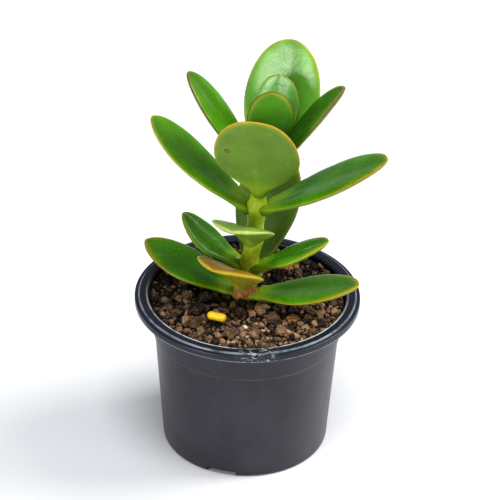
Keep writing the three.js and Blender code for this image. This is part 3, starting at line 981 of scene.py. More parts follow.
# ---------------------------------------------------------------- pot
@dataclass(frozen=True)
class PlasticFinish:
    """The pot's dark, slightly scuffed plastic.

    Attributes:
        dark: colour of the wall.
        pale: colour of its paler clouds.
        lip: colour of the lip.
        dust: colour of the dust.
        mouth: colour of the painted highlight on the mouth's inner edge, strongest at the front.
        groove: colour of the painted highlight along the lip's step.
        scrape: colour of the scrapes on the front of the lip.
        hem: colour of the lip's lower edge: a painted highlight, partly real scuffing.
        ledge: colour of the ledge's edge.
    """

    dark: Colour = (0.018, 0.016, 0.024)
    pale: Colour = (0.030, 0.027, 0.038)
    lip: Colour = (0.008, 0.012, 0.022)
    dust: Colour = (0.14, 0.13, 0.14)
    mouth: Colour = (0.60, 0.62, 0.66)
    groove: Colour = (0.34, 0.36, 0.42)
    scrape: Colour = (0.46, 0.46, 0.50)
    hem: Colour = (0.30, 0.31, 0.35)
    ledge: Colour = (0.13, 0.125, 0.14)

    def dress(self, piece: bpy.types.Object, pot: "Pot") -> None:
        """Gives the pot its plastic.

        Args:
            piece: the pot.
            pot: its sizes.
        """
        bench = Bench("pot_plastic_dark")
        z = bench.axes()[2]
        cloud = bench.noise(22 * MM, detail=4)
        fine = bench.noise(0.8 * MM, detail=3)
        drag = bench.noise(5 * MM, detail=3, stretch=(1.0, 1.0, 0.12))
        hem = pot.height - pot.lip_drop
        lip = z.ramp(hem - 0.5 * MM, hem + 0.2 * MM)
        plastic = bench.blend(cloud.ramp(0.35, 0.7), self.dark, self.pale)
        plastic = bench.blend(lip * 0.85, plastic, self.lip)
        dust = bench.noise(3.0 * MM, detail=5, rough=0.7).ramp(0.56, 0.72) * 0.10
        plastic = bench.blend(dust, plastic, self.dust)
        # Painted highlights on the lip's edges, the ledge line and the real scrapes.
        plastic = self._edge_highlights_and_scrapes(bench, plastic, lip, pot)
        rough = cloud * 0.14 + drag * 0.10 + fine * 0.06 + 0.22 - lip * 0.05
        bump = bench.relief(drag, 0.25 * MM, 0.30, under=bench.relief(fine, 0.03 * MM, 0.35))
        bench.dress(
            piece,
            Base_Color=plastic,
            Roughness=rough.clamped(),
            Normal=bump,
            IOR=1.49,
            Specular_IOR_Level=0.42,
        )

    def _edge_highlights_and_scrapes(self, bench: Bench, plastic: Wire, lip: Wire, pot: "Pot") -> Wire:
        """Adds painted highlights on mouth, step and hem (hem partly real scuffs), a ledge line and the
        scrapes.

        Args:
            bench: the bench that the plastic is made on.
            plastic: the colour so far.
            lip: the mask of the lip.
            pot: the pot's sizes.

        Returns:
            The wire of the colour.
        """
        x, y, z = bench.axes()
        hem = pot.height - pot.lip_drop
        ledge = pot.height - pot.ledge_drop + pot.ledge_step * 0.6
        radius = (x * x + y * y) ** 0.5
        around = bench.noise(9 * MM, detail=4, rough=0.65).ramp(0.30, 0.55)
        scrape = bench.noise(1.1 * MM, detail=5, rough=0.75, stretch=(0.6, 1.0, 1.8)).ramp(0.53, 0.60)
        # Masks of the painted highlights on the mouth's inner edge and on the lip's step.
        mouth_at = pot.lip_radius - pot.lip_width + 0.15 * MM
        mouth = abs(radius - mouth_at).ramp(0.50 * MM, 0.20 * MM) * lip
        groove = abs(radius - (pot.lip_radius - pot.lip_step_inset)).ramp(0.5 * MM, 0.15 * MM) * lip
        front = y.ramp(-34 * MM, -42 * MM) * abs(x - 4.5 * MM).ramp(10 * MM, 3 * MM)
        marks = (
            # Painted highlight on the mouth's inner edge, fading towards the back.
            (mouth * around * y.ramp(15 * MM, -25 * MM) * 0.95, self.mouth),
            # Painted highlight along the lip's step.
            (groove * around * 0.60, self.groove),
            (scrape * front * lip * 0.85, self.scrape),
            # The hem's line: painted highlight, partly real scuffing.
            (abs(z - (hem + 0.2 * MM)).ramp(0.45 * MM, 0.1 * MM) * around * 0.60, self.hem),
            (abs(z - ledge).ramp(0.5 * MM, 0.1 * MM) * around * 0.45, self.ledge),
        )
        for mask, colour in marks:
            plastic = bench.blend(mask, plastic, colour)
        return plastic


@dataclass
class Pot:
    """The thin-walled nursery pot, turned from one outline, with its notches and drain holes."""

    node: str = "pot"
    sides: int = 192
    wall: float = 1.1 * MM
    lip_width: float = 5.0 * MM
    lip_drop: float = 3.4 * MM
    lip_step: float = 0.6 * MM
    lip_step_inset: float = 1.7 * MM
    throat_drop: float = 2.5 * MM
    collar_radius: float = 39.2 * MM
    ledge_drop: float = 17.4 * MM
    ledge_radius: float = 37.9 * MM
    ledge_step: float = 0.8 * MM
    foot_radius: float = 33.6 * MM
    foot_width: float = 3.4 * MM
    pad_radius: float = 19.0 * MM
    channel: float = 2.2 * MM
    notch_bearings: tuple[float, ...] = (254, 14, 134)
    notch_width: float = 12 * MM
    drain_bearings: tuple[float, ...] = (13, 73, 133, 193, 253, 313)
    drain_radius: float = 2.8 * MM
    finish: PlasticFinish = PlasticFinish()

    def build(self) -> bpy.types.Object:
        """Models and dresses the pot, and returns it."""
        low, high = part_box(self.node)
        self.height = high[2] - low[2]
        self.lip_radius = (high[1] - low[1]) / 2
        piece = turned("pot_shell", self._outline(), self.sides)
        self._pierce(piece)
        shade(piece, angle=38)
        self.finish.dress(piece, self)
        return piece

    def _outline(self) -> list[tuple[float, float]]:
        """The pot's outline: underside, outer wall, lip, inner wall and floor, as (radius, height) pairs."""
        top, wall, rim = self.height, self.wall, self.lip_radius
        mouth, ledge, hem = rim - self.lip_width, top - self.ledge_drop, top - self.lip_drop
        foot = self.foot_radius - self.foot_width
        slope = self.channel / 4
        step, throat = rim - self.lip_step_inset, mouth - wall * 0.7
        hollow, roof = mouth + wall * 0.3, top - self.lip_step - wall
        collar, shelf, edge = self.collar_radius, self.ledge_radius, self.ledge_step
        corners = [
            (0.4 * MM, 0.0, 0),
            (self.pad_radius, 0.0, 0.5),
            (self.pad_radius + slope, self.channel, 0.5),
            (foot - slope, self.channel, 0.5),
            (foot, 0.0, 0.4),
            (self.foot_radius, 0.0, 1.5),
            (shelf - edge, ledge, 0.35),
            (shelf, ledge + edge, 0.45),
            (collar, hem, 0.5),
            (hollow, top - self.throat_drop, 0.4),
            (hollow, roof, 0.3),
            (rim - wall, roof, 0.4),
            (rim - wall, hem, 0.25),
            (rim, hem, 0.3),
            (rim, top - self.lip_step, 0.75),
            (step + self.lip_step / 2, top - self.lip_step, 0.2),
            (step, top, 0.3),
            (mouth, top, 0.45),
            (throat, top - wall * 0.5, 0.35),
            (throat, top - self.throat_drop - wall * 0.3, 0.5),
            (collar - wall, hem - wall * 0.3, 0.5),
            (shelf - wall, ledge + edge, 0.4),
            (shelf - edge - wall, ledge - wall * 0.5, 0.4),
            (self.foot_radius - wall, self.channel + wall * 2, 1.2),
            (foot - slope, self.channel + wall, 0.8),
            (self.pad_radius, self.channel + wall, 0.5),
            (self.pad_radius - slope, wall, 0.5),
            (0.4 * MM, wall, 0),
        ]
        return self._rounded(corners)

    @staticmethod
    def _rounded(corners: Sequence[tuple[float, float, float]], steps: int = 4) -> list[tuple[float, float]]:
        """Rounds an outline's corners.

        Args:
            corners: (radius, height, rounding in millimetres) of each corner.
            steps: how many straight pieces a rounding takes.

        Returns:
            (radius, height) pairs.
        """
        path: list[tuple[float, float]] = []
        for i, (r, h, soft) in enumerate(corners):
            here = np.array([r, h])
            if not soft:
                path.append((r, h))
                continue
            before = np.array(corners[i - 1][:2]) - here
            after = np.array(corners[i + 1][:2]) - here
            reach = min(soft * MM, 0.45 * np.linalg.norm(before), 0.45 * np.linalg.norm(after))
            start = here + before / np.linalg.norm(before) * reach
            end = here + after / np.linalg.norm(after) * reach
            for t in np.linspace(0, 1, steps + 1):
                path.append(tuple((1 - t) ** 2 * start + 2 * t * (1 - t) * here + t**2 * end))
        return path

    def _pierce(self, piece: bpy.types.Object) -> None:
        """Cuts the drainage notches and the drain holes."""
        for bearing in self.notch_bearings:
            block = new_primitive("notch_cutter", bpy.ops.mesh.primitive_cube_add, size=1.0)
            reach = self.foot_width * 3
            block.dimensions = (reach, self.notch_width, self.channel * 2)
            out = self.foot_radius - self.foot_width + reach / 2 - self.channel / 2
            self._carve(piece, block, out, 0.0, bearing)
        circle = (self.pad_radius + self.foot_radius - self.foot_width) / 2
        for bearing in self.drain_bearings:
            shape = {"vertices": 28, "radius": self.drain_radius, "depth": 8 * MM}
            drill = new_primitive("drain_cutter", bpy.ops.mesh.primitive_cylinder_add, **shape)
            self._carve(piece, drill, circle, self.channel, bearing)

    @staticmethod
    def _carve(
        piece: bpy.types.Object, cutter: bpy.types.Object, out: float, level: float, bearing: float
    ) -> None:
        """Takes a cutter's shape out of the pot.

        Args:
            piece: the pot.
            cutter: the shape to take out; it is deleted.
            out: how far from the axis the cutter stands.
            level: how high it stands.
            bearing: its bearing in degrees, from +X towards +Y.
        """
        turn = math.radians(bearing)
        cutter.rotation_euler = (0, 0, turn)
        cutter.location = (out * math.cos(turn), out * math.sin(turn), level)
        pick(piece)
        carve = piece.modifiers.new("carve", "BOOLEAN")
        carve.operation = "DIFFERENCE"
        carve.solver = "EXACT"
        carve.object = cutter
        bpy.ops.object.modifier_apply(modifier=carve.name)
        bpy.data.objects.remove(cutter)


# ---------------------------------------------------------------- soil
def unit_ball(name: str, fineness: int) -> bpy.types.Object:
    """Adds a ball, one unit across, that crumbs and lumps start from."""
    return new_primitive(name, bpy.ops.mesh.primitive_ico_sphere_add, subdivisions=fineness, radius=0.5)


@dataclass(frozen=True)
class EarthFinish:
    """Moist, crumbly earth.

    Attributes:
        dark: colour of the moist crumbs, and of the painted shade in the gaps between them.
        middle: colour of most crumbs.
        pale: colour of the drier crumbs.
        light: colour of the driest crumbs.
        fleck: colour of the small, dry flecks.
        grain: size of the grains that the relief shows, in metres.
        back_shade_and_damp: how much darker the earth is towards the back and left: painted shade there,
            together with moister earth.
    """

    dark: Colour = (0.008, 0.004, 0.002)
    middle: Colour = (0.190, 0.108, 0.058)
    pale: Colour = (0.400, 0.240, 0.140)
    light: Colour = (0.700, 0.480, 0.310)
    fleck: Colour = (0.50, 0.36, 0.24)
    grain: float = 0.7 * MM
    back_shade_and_damp: float = 0.20

    def dress(self, piece: bpy.types.Object) -> None:
        """Gives a piece of earth, which has a stored "tint" for each crumb, its colour and its grain."""
        bench = Bench(f"{piece.name}_earth")
        x, y = bench.axes()[:2]
        cloud = bench.noise(4 * self.grain, detail=5, rough=0.65)
        fine = bench.noise(self.grain * 0.5, detail=3)
        shade_and_damp_side = y - x * 0.35 + (bench.noise(9 * MM, detail=2) - 0.5) * (14 * MM)
        tone = cloud * 0.55 + fine * 0.2 + (bench.attribute("tint") - 0.5) * 0.75
        # Painted shade, with moister earth: the earth darkens towards the back and left.
        tone = tone - shade_and_damp_side.ramp(-12 * MM, 6 * MM) * self.back_shade_and_damp
        ramp = [(0.20, self.dark), (0.42, self.middle), (0.60, self.pale), (0.85, self.light)]
        earth = bench.gradient(tone.clamped(), ramp)
        earth = bench.blend(bench.cells(1.9 * self.grain).ramp(0.22, 0.08) * 0.35, earth, self.fleck)
        coarse = bench.relief(cloud, 0.9 * MM, 0.9)
        bump = bench.relief(bench.cells(self.grain) * 0.7 + fine * 0.6, 0.40 * MM, 0.9, under=coarse)
        bench.dress(
            piece,
            Base_Color=earth,
            Roughness=(fine * 0.35 + 0.50).clamped(),
            Normal=bump,
            Specular_IOR_Level=0.35,
        )


@dataclass
class Soil:
    """The soil in the pot: an uneven bed with loose crumbs of many sizes on it."""

    node: str = "soil"
    sides: int = 120
    rings: int = 46
    crumb_kinds: int = 9
    crumb_bias: float = 2.6
    crumb_lean: float = 0.5
    tint_spread: float = 0.22
    # The bed's low tint paints it darker than the crumbs: painted shade in the gaps between them.
    bed_tint: float = 0.16
    heap: float = 2.2 * MM
    rng: np.random.Generator = field(default_factory=lambda: np.random.default_rng(358))

    def build(self, stem: StemLine) -> tuple[bpy.types.Object, BVHTree]:
        """Models and dresses the bed of soil.

        Args:
            stem: the stem that stands in it.

        Returns:
            The bed, and its surface for setting things down on.
        """
        triangles = solid_triangles(self.node)
        low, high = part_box(self.node)
        self.stem = stem
        self.edge_radius = float(np.hypot(*np.array(high)[:2]) / math.sqrt(2))
        top = triangles[..., 2].reshape(-1)
        radius = np.hypot(triangles[..., 0], triangles[..., 1]).reshape(-1)
        outer = radius > self.edge_radius * 0.985
        self.edge_height = float(top[outer].max())
        centre = top[(radius > 6 * MM) & (radius < 16 * MM) & (top > self.edge_height - 3 * MM)]
        self.centre_height = float(centre.mean())
        outline = self._outline(triangles, low[2])
        piece = turned("soil_bed", outline, self.sides)
        LOG.info("soil edge %.1f mm, middle %.1f mm", self.edge_height / MM, self.centre_height / MM)
        self._unsettle(piece)
        shade(piece)
        points = points_of(piece)
        # Painted shade: the bed is tinted darker than the crumbs, for the gaps between them.
        store(piece, "tint", np.full(len(points), self.bed_tint))
        EarthFinish().dress(piece)
        tree = BVHTree.FromObject(piece, bpy.context.evaluated_depsgraph_get())
        return piece, tree

    def _outline(self, triangles: np.ndarray, bottom: float) -> list[tuple[float, float]]:
        """The bed's outline, from the middle of its underside over the edge to the middle of its surface."""
        heights = np.linspace(bottom + 0.3 * MM, self.edge_height - 0.8 * MM, 14)
        wall = []
        for level in heights:
            ring = cut(triangles, 2, level)
            wall.append((float(np.hypot(ring[:, 0], ring[:, 1]).max()) - 0.05 * MM, float(level)))
        outline = [(0.5 * MM, bottom + 0.02 * MM), (wall[0][0] * 0.6, bottom + 0.02 * MM), *wall]
        for share in np.linspace(1, 0.015, self.rings):
            dish = (self.edge_height - self.centre_height) * (1 - share**2) ** 2
            outline.append((self.edge_radius * share, self.edge_height - dish))
        return outline

    def _unsettle(self, piece: bpy.types.Object) -> None:
        """Raises and lowers the surface into clods and hollows, and leaves the buried sides alone."""
        flat = points_of(piece)
        roughen(piece, size=6.5 * MM, depth=3.0 * MM, seed=5)
        roughen(piece, size=2.2 * MM, depth=1.7 * MM, seed=9)
        moved = points_of(piece)
        free = ((flat[:, 2] - (self.centre_height - 1.2 * MM)) / (1.0 * MM)).clip(0, 1)
        free *= ((self.edge_radius - np.hypot(flat[:, 0], flat[:, 1])) / (1.5 * MM)).clip(0.15, 1)
        settled = flat + (moved - flat) * free[:, None]
        piece.data.vertices.foreach_set("co", settled.ravel())
        piece.data.update()

    def crumb_moulds(self) -> list[np.ndarray]:
        """Models a few crumbs by hand, to be copied.

        Returns:
            Each crumb's points, about one unit across.
        """
        moulds = []
        for kind in range(self.crumb_kinds):
            mould = unit_ball("crumb_mould", 2)
            bpy.ops.object.mode_set(mode="EDIT")
            bpy.ops.mesh.select_all(action="SELECT")
            bpy.ops.transform.vertex_random(offset=0.19, seed=kind + 1)
            stretch = (1.0 + 0.06 * (kind % 4), 0.78 + 0.05 * (kind % 3), 0.66 + 0.07 * (kind % 5))
            bpy.ops.transform.resize(value=stretch, center_override=(0, 0, 0))
            bpy.ops.object.mode_set(mode="OBJECT")
            if kind == 0:
                faces = np.empty(len(mould.data.polygons) * 3, dtype=np.int64)
                mould.data.polygons.foreach_get("vertices", faces)
                self.crumb_faces = faces.reshape(-1, 3)
            moulds.append(points_of(mould))
            bpy.data.objects.remove(mould)
        return moulds

    def scatter(
        self, name: str, tree: BVHTree, count: int, sizes: tuple[float, float], moulds: list[np.ndarray]
    ) -> bpy.types.Object:
        """Scatters loose crumbs over the bed.

        Args:
            name: the new piece's name.
            tree: the surface that they lie on.
            count: how many crumbs.
            sizes: the least and the greatest size, in metres.
            moulds: the crumbs to copy.

        Returns:
            All the crumbs as one piece.
        """
        points, faces, tints = [], [], []
        stem_at, stem_radius = self.stem.at(self.centre_height)
        rod = np.mean(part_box("fertiliser_pellet"), axis=0)
        for _ in range(count):
            size = sizes[0] + (sizes[1] - sizes[0]) * self.rng.random() ** self.crumb_bias
            out = (self.edge_radius - size * 0.42) * math.sqrt(self.rng.random())
            bearing = self.rng.random() * 2 * math.pi
            spin = self.rng.random() * 2 * math.pi
            dip = self.rng.normal(0, self.crumb_lean, 2)
            mould = int(self.rng.integers(len(moulds)))
            lift, tint = self.rng.random(), self.rng.normal(0.5, self.tint_spread)
            x, y = out * math.cos(bearing), out * math.sin(bearing)
            if math.hypot(x - stem_at.x, y - stem_at.y) < stem_radius + size * 0.35:
                continue
            if math.hypot((x - rod[0]) * 0.55, y - rod[1] + 1.0 * MM) < 1.6 * MM + size * 0.5:
                continue
            ground = tree.ray_cast(Vector((x, y, self.edge_height + 10 * MM)), Vector((0, 0, -1)))[0]
            if ground is None:
                continue
            tip = Matrix.Rotation(dip[0], 3, "X") @ Matrix.Rotation(dip[1], 3, "Y")
            turn = Matrix.Rotation(spin, 3, "Z") @ tip
            body = moulds[mould] @ np.array(turn).T * size
            rise = ground.z + size * (0.05 + 0.30 * lift)
            faces.append(self.crumb_faces + len(points) * len(moulds[0]))
            top = self.edge_height + self.heap - size * 0.4
            points.append(body + np.array([x, y, min(rise, top)]))
            tints.append(np.full(len(body), tint + 0.10 * lift))
        mesh = bpy.data.meshes.new(name)
        mesh.from_pydata(np.concatenate(points).tolist(), [], np.concatenate(faces).tolist())
        piece = bpy.data.objects.new(name, mesh)
        bpy.context.collection.objects.link(piece)
        shade(piece, angle=28)
        store(piece, "tint", np.concatenate(tints).clip(0, 1))
        EarthFinish().dress(piece)
        return piece


# ---------------------------------------------------------------- loose pieces
@dataclass
class Lump:
    """A loose piece on the soil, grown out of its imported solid's place and size."""

    node: str
    finish: Any
    dent: float = 0.24
    swell: float = 1.0
    seed: int = 1
    coarse: float = 0.42
    fine: float = 0.13
    rise: float = 0.32

    def build(self) -> bpy.types.Object:
        """Models and dresses the lump, and returns it."""
        low, high = (np.array(corner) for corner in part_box(self.node))
        size = (high - low) * self.swell
        piece = unit_ball(f"{self.node}_lump", 5)
        bpy.ops.object.mode_set(mode="EDIT")
        bpy.ops.mesh.select_all(action="SELECT")
        bpy.ops.transform.resize(value=tuple(size), center_override=(0, 0, 0))
        bpy.ops.object.mode_set(mode="OBJECT")
        across = float(size.mean())
        roughen(piece, size=across * self.coarse, depth=across * self.dent * 2.2, seed=self.seed)
        roughen(piece, size=across * self.fine, depth=across * self.dent * 0.7, seed=self.seed + 7)
        centre = (low + high) / 2
        centre[2] = low[2] + size[2] * self.rise
        keep_place(piece, Matrix.Translation(Vector(centre)))
        shade(piece)
        tone = 0.5 + 0.18 * math.sin(self.seed * 2.4)
        store(piece, "tint", np.full(len(piece.data.vertices), tone))
        self.finish.dress(piece)
        return piece


@dataclass(frozen=True)
class BarkFinish:
    """Fibrous bark."""

    dark: Colour = (0.090, 0.032, 0.012)
    light: Colour = (0.420, 0.190, 0.050)

    def dress(self, piece: bpy.types.Object) -> None:
        """Gives a chip its fibrous colour and relief."""
        bench = Bench(f"{piece.name}_bark")
        fibre = bench.noise(1.1 * MM, detail=4, stretch=(0.5, 1.8, 1.8))
        cloud = bench.noise(2.4 * MM, detail=3)
        bark = bench.blend(fibre.ramp(0.36, 0.64), self.dark, self.light)
        bark = bench.blend(cloud.ramp(0.55, 0.75) * 0.5, bark, (0.52, 0.33, 0.12))
        bump = bench.relief(fibre, 0.5 * MM, 0.8)
        bench.dress(piece, Base_Color=bark, Roughness=(cloud * 0.3 + 0.55).clamped(), Normal=bump)


@dataclass(frozen=True)
class GritFinish:
    """A pale mineral grain."""

    def dress(self, piece: bpy.types.Object) -> None:
        """Gives the grain its chalky surface."""
        bench = Bench(f"{piece.name}_mineral")
        cloud = bench.noise(0.6 * MM, detail=3)
        chalk = bench.blend(cloud.ramp(0.35, 0.7), (0.62, 0.58, 0.50), (0.86, 0.84, 0.80))
        bump = bench.relief(cloud, 0.15 * MM, 0.6)
        bench.dress(piece, Base_Color=chalk, Roughness=(cloud * 0.3 + 0.5).clamped(), Normal=bump)


@dataclass(frozen=True)
class WaxFinish:
    """The pellet's yellow wax, browned at one end.

    Attributes:
        deep: the deeper yellow.
        bright: the brighter yellow.
        brown: colour of the browned end.
        crumb: colour of the specks of soil that stick to it.
    """

    deep: Colour = (0.86, 0.52, 0.008)
    bright: Colour = (0.93, 0.68, 0.02)
    brown: Colour = (0.62, 0.26, 0.01)
    crumb: Colour = (0.30, 0.16, 0.04)

    def dress(self, piece: bpy.types.Object, centre: float, length: float) -> None:
        """Gives the pellet its wax.

        Args:
            piece: the pellet.
            centre: its middle along X.
            length: its length.
        """
        bench = Bench("pellet_wax")
        cloud = bench.noise(1.6 * MM, detail=4)
        browned = bench.axes()[0].ramp(centre + length * 0.28, centre + length * 0.42) * 0.7
        wax = bench.blend(cloud.ramp(0.3, 0.7), self.deep, self.bright)
        wax = bench.blend(browned, wax, self.brown)
        wax = bench.blend(bench.cells(0.8 * MM).ramp(0.16, 0.06) * 0.5, wax, self.crumb)
        bench.dress(
            piece,
            Base_Color=wax,
            Roughness=(cloud * 0.25 + 0.28).clamped(),
            Normal=bench.relief(cloud, 0.12 * MM, 0.5),
            Subsurface_Weight=0.1,
            Subsurface_Radius=(1.0, 0.6, 0.1),
            Subsurface_Scale=0.8 * MM,
        )


@dataclass
class Pellet:
    """The yellow slow-release fertiliser pellet: a short rod with blunt, rounded ends."""

    node: str = "fertiliser_pellet"
    sides: int = 32
    swell: float = 1.22
    turn: float = 14.0
    finish: WaxFinish = WaxFinish()

    def build(self) -> bpy.types.Object:
        """Models and dresses the pellet, and returns it."""
        triangles = solid_triangles(self.node)
        corners = triangles.reshape(-1, 3)
        middle = (corners.min(axis=0) + corners.max(axis=0)) / 2
        axis = np.linalg.svd(corners - corners.mean(axis=0), full_matrices=False)[2][0]
        axis *= math.copysign(1, axis[0])
        axis = np.array(Matrix.Rotation(math.radians(self.turn), 3, "Z") @ Vector(axis))
        length = float(np.ptp(corners @ axis))
        radius = float(corners[:, 2].max() - corners[:, 2].min()) / 2 * self.swell
        middle[2] += radius * 0.6
        rounding = radius * 0.86
        outline = [(radius * 0.12, -length / 2)]
        for turn in np.linspace(0, math.pi / 2, 7):
            rise = rounding * (1 - math.cos(turn))
            outline.append((radius - rounding + rounding * math.sin(turn), rise - length / 2))
        waist = [(radius * 0.985, length * share) for share in (-0.2, 0.0, 0.2)]
        outline += waist + [(r, -z) for r, z in reversed(outline)]
        piece = turned("fertiliser_pellet_rod", outline, self.sides)
        roughen(piece, size=2.4 * MM, depth=0.08 * MM, seed=4)
        lie = Vector((0, 0, 1)).rotation_difference(Vector(axis)).to_matrix().to_4x4()
        keep_place(piece, Matrix.Translation(Vector(middle)) @ lie)
        shade(piece)
        self.finish.dress(piece, float(middle[0]), length)
        return piece


# ---------------------------------------------------------------- studio
@dataclass(frozen=True)
class PaintFinish:
    """The floor's pale paint, in two hardly different tones."""

    cool: Colour = (0.82, 0.83, 0.85)
    pale: Colour = (0.85, 0.855, 0.87)

    def dress(self, piece: bpy.types.Object) -> None:
        """Gives the floor its paint."""
        bench = Bench("floor_paint")
        paint = bench.blend(bench.noise(0.4, detail=2), self.cool, self.pale)
        bench.dress(piece, Base_Color=paint, Roughness=0.55)


@dataclass(frozen=True)
class Lamp:
    """A soft square light that faces the plant.

    Attributes:
        name: the light's name.
        place: where it stands, in metres.
        size: its side, in metres.
        power: its power, in watts.
        colour: its colour.
    """

    name: str
    place: Colour
    size: float
    power: float
    colour: Colour

    def build(self, aim: Vector) -> None:
        """Adds the light and turns it to a point."""
        lamp = bpy.data.lights.new(self.name, "AREA")
        lamp.size = self.size
        lamp.energy = self.power
        lamp.color = self.colour
        stand = bpy.data.objects.new(self.name, lamp)
        bpy.context.collection.objects.link(stand)
        stand.location = self.place
        stand.rotation_euler = (aim - Vector(self.place)).to_track_quat("-Z", "Y").to_euler()


LAMPS = (
    Lamp("window", (1.00, 0.20, 1.05), 0.7, 16.0, (1.0, 0.99, 0.96)),
    Lamp("overhead", (0.05, -0.45, 1.5), 0.6, 9.5, (0.98, 0.99, 1.0)),
    Lamp("front_left", (-1.05, -1.10, 0.42), 0.55, 12.0, (1.0, 0.99, 0.96)),
    Lamp("right_low", (0.9, -0.4, 0.25), 0.35, 1.6, (1.0, 0.99, 0.98)),
)


@dataclass
class Studio:
    """The pale floor, the soft lights and the camera."""

    aim: Vector = field(default_factory=lambda: Vector((0.65 * MM, 0, 86.9 * MM)))
    elevation: float = 32.0
    roll: float = 1.2
    distance: float = 1.0
    lens: float = 181.6
    floor_size: float = 14.0

    def build(self) -> None:
        """Sets up the floor, the lights, the sky and the camera."""
        floor = new_primitive("floor", bpy.ops.mesh.primitive_plane_add, size=self.floor_size)
        PaintFinish().dress(floor)
        for lamp in LAMPS:
            lamp.build(self.aim)
        self._sky()
        self._camera()
        scene = bpy.context.scene
        scene.view_settings.view_transform = "Standard"
        scene.view_settings.look = "Medium High Contrast"

    @staticmethod
    def _sky() -> None:
        """Fills the studio with even, pale light."""
        world = bpy.data.worlds.new("studio")
        world.use_nodes = True
        backdrop = world.node_tree.nodes["Background"]
        backdrop.inputs["Color"].default_value = (0.90, 0.94, 1.0, 1.0)
        backdrop.inputs["Strength"].default_value = 0.33
        bpy.context.scene.world = world

    def _camera(self) -> None:
        """Places the camera."""
        lift, lean = math.radians(self.elevation), math.radians(self.roll)
        ahead = Vector((0, math.cos(lift), -math.sin(lift)))
        up, right = Vector((0, math.sin(lift), math.cos(lift))), Vector((1, 0, 0))
        tilted_up = up * math.cos(lean) - right * math.sin(lean)
        tilted_right = right * math.cos(lean) + up * math.sin(lean)
        eye = bpy.data.cameras.new("camera")
        eye.lens, eye.sensor_width, eye.clip_end = self.lens, 36.0, 30.0
        camera = bpy.data.objects.new("camera", eye)
        bpy.context.collection.objects.link(camera)
        axes = Matrix((tilted_right, tilted_up, -ahead)).transposed().to_4x4()
        camera.matrix_world = Matrix.Translation(self.aim - ahead * self.distance) @ axes
        bpy.context.scene.camera = camera


# ---------------------------------------------------------------- the whole plant
LEAF_FINISHES: dict[str, LeafFinish] = {
    "leaf_1_left": LeafFinish(
        upper=(0.048, 0.175, 0.002), rim=(0.280, 0.170, 0.020), flush=(0.330, 0.170, 0.010),
        flush_amount=0.45, flush_reach=3.2,
    ),
    "leaf_1_right": LeafFinish(
        upper=(0.055, 0.185, 0.003), rim=(0.360, 0.260, 0.020), flush=(0.480, 0.220, 0.010), flush_amount=0.5,
        flush_reach=2.8,
    ),
    "leaf_2_front": LeafFinish(
        upper=(0.420, 0.250, 0.018), under=(0.230, 0.260, 0.020), rim=(0.460, 0.420, 0.050), rim_width=0.7,
        flush=(0.380, 0.120, 0.012), flush_amount=0.75, flush_reach=9.0, freckles=0.5,
    ),
    # leaf_2_back's dull, darker green is partly painted shade, partly its pale bloom.
    "leaf_2_back": LeafFinish(
        upper=(0.085, 0.155, 0.020), under=(0.080, 0.150, 0.022), rim=(0.170, 0.110, 0.030), gloss=0.4
    ),
    "leaf_3_left": LeafFinish(upper=(0.050, 0.185, 0.003), rim=(0.130, 0.170, 0.020)),
    "leaf_3_right": LeafFinish(upper=(0.072, 0.255, 0.004), rim=(0.380, 0.360, 0.040), flush_amount=0.6),
    "leaf_4_front": LeafFinish(
        upper=(0.200, 0.330, 0.060), under=(0.110, 0.200, 0.018), rim=(0.520, 0.560, 0.200), rim_width=0.6,
        flush_amount=0.1,
    ),
    "leaf_5_left": LeafFinish(upper=(0.086, 0.262, 0.004), rim=(0.360, 0.320, 0.050), depth=0.26),
    "leaf_5_right": LeafFinish(
        upper=(0.055, 0.210, 0.003), rim=(0.250, 0.200, 0.030), freckles=1.0, flush=(0.420, 0.240, 0.020),
        flush_amount=0.5,
    ),
    "leaf_6_front": LeafFinish(
        upper=(0.110, 0.230, 0.020), under=(0.118, 0.206, 0.025), rim=(0.560, 0.290, 0.026), rim_width=0.62,
        gloss=0.36, spot=(0.60, -0.68), flush_amount=0.15, mottle=0.4,
    ),
    "leaf_6_back": LeafFinish(
        upper=(0.170, 0.440, 0.050), rim=(0.420, 0.360, 0.040), rim_width=0.5, gloss=0.27, shine=0.8
    ),
    "leaf_7_left": LeafFinish(
        upper=(0.075, 0.240, 0.004), rim=(0.085, 0.035, 0.012), flush=(0.16, 0.05, 0.02)
    ),
    "leaf_7_right": LeafFinish(
        upper=(0.048, 0.180, 0.004), rim=(0.150, 0.050, 0.035), flush=(0.42, 0.16, 0.14), flush_amount=0.4,
        flush_reach=1.6,
    ),
    "leaf_8_front": LeafFinish(
        under=(0.080, 0.230, 0.012), rim=(0.130, 0.060, 0.012), rim_width=0.6, gloss=0.34
    ),
    "leaf_8_back": LeafFinish(upper=(0.180, 0.480, 0.085), rim=(0.110, 0.090, 0.012), gloss=0.28, shine=0.6),
    "shoot_tip": LeafFinish(upper=(0.130, 0.330, 0.020)),
}


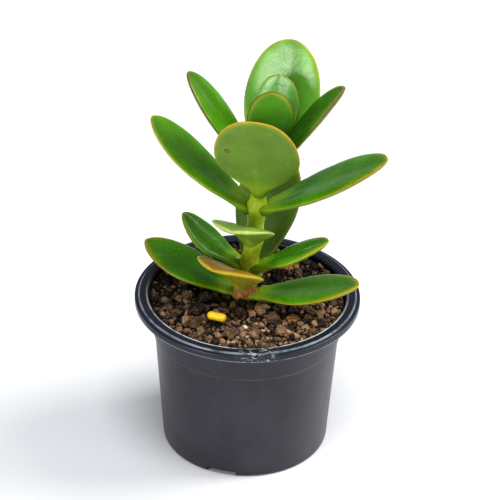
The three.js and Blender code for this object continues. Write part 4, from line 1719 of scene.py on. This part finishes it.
# The loose crumbs: each piece's name, how many it holds, and their least and greatest sizes.
CRUMBS = (
    ("soil_crumbs_coarse", 900, (1.4 * MM, 4.4 * MM)),
    ("soil_crumbs_middling", 2100, (0.9 * MM, 2.2 * MM)),
    ("soil_crumbs_fine", 2300, (0.5 * MM, 1.2 * MM)),
)


def settle(piece: bpy.types.Object, slot: str, *nodes: str) -> None:
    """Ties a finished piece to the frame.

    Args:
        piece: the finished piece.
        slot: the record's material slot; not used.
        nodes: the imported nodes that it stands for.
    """
    if nodes:
        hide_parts(*nodes)
    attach(piece, "root")
    LOG.info("%-24s %6d faces", piece.name, len(piece.data.polygons))


def slot_of(node: str) -> str:
    """The record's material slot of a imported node."""
    return next(part["material_slot"] for part in frame["record"]["subparts"] if part["node"] == node)


def nodes_named(start: str) -> list[str]:
    """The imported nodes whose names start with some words, in order."""
    return sorted(name for name in frame["nodes"] if name.startswith(start))


def main() -> None:
    """Builds the plant, its pot and the studio, in order."""
    logging.basicConfig(level=logging.INFO, format="%(name)s: %(message)s")
    Studio().build()
    settle(Pot().build(), slot_of("pot"), "pot")
    line = StemLine.measured("stem")
    soil = Soil()
    bed, surface = soil.build(line)
    settle(bed, slot_of("soil"), "soil")
    moulds = soil.crumb_moulds()
    for name, count, sizes in CRUMBS:
        settle(soil.scatter(name, surface, count, sizes, moulds), slot_of("soil"))
    for i, node in enumerate(nodes_named("soil_clod")):
        settle(Lump(node, EarthFinish(), seed=i + 2, swell=1.05).build(), slot_of(node), node)
    for i, node in enumerate(nodes_named("bark_chip")):
        settle(Lump(node, BarkFinish(), dent=0.14, seed=i + 21).build(), slot_of(node), node)
    settle(Lump("grit_grain", GritFinish(), dent=0.15, seed=40).build(), slot_of("grit_grain"), "grit_grain")
    settle(Pellet().build(), slot_of("fertiliser_pellet"), "fertiliser_pellet")
    settle(Stem().build(line, soil.centre_height), slot_of("stem"), "stem")
    for node, finish in LEAF_FINISHES.items():
        settle(Leaf(node, finish, Joint.of(node)).build(line), slot_of(node), node)
    clear_selection()


if __name__ == "__main__":
    main()
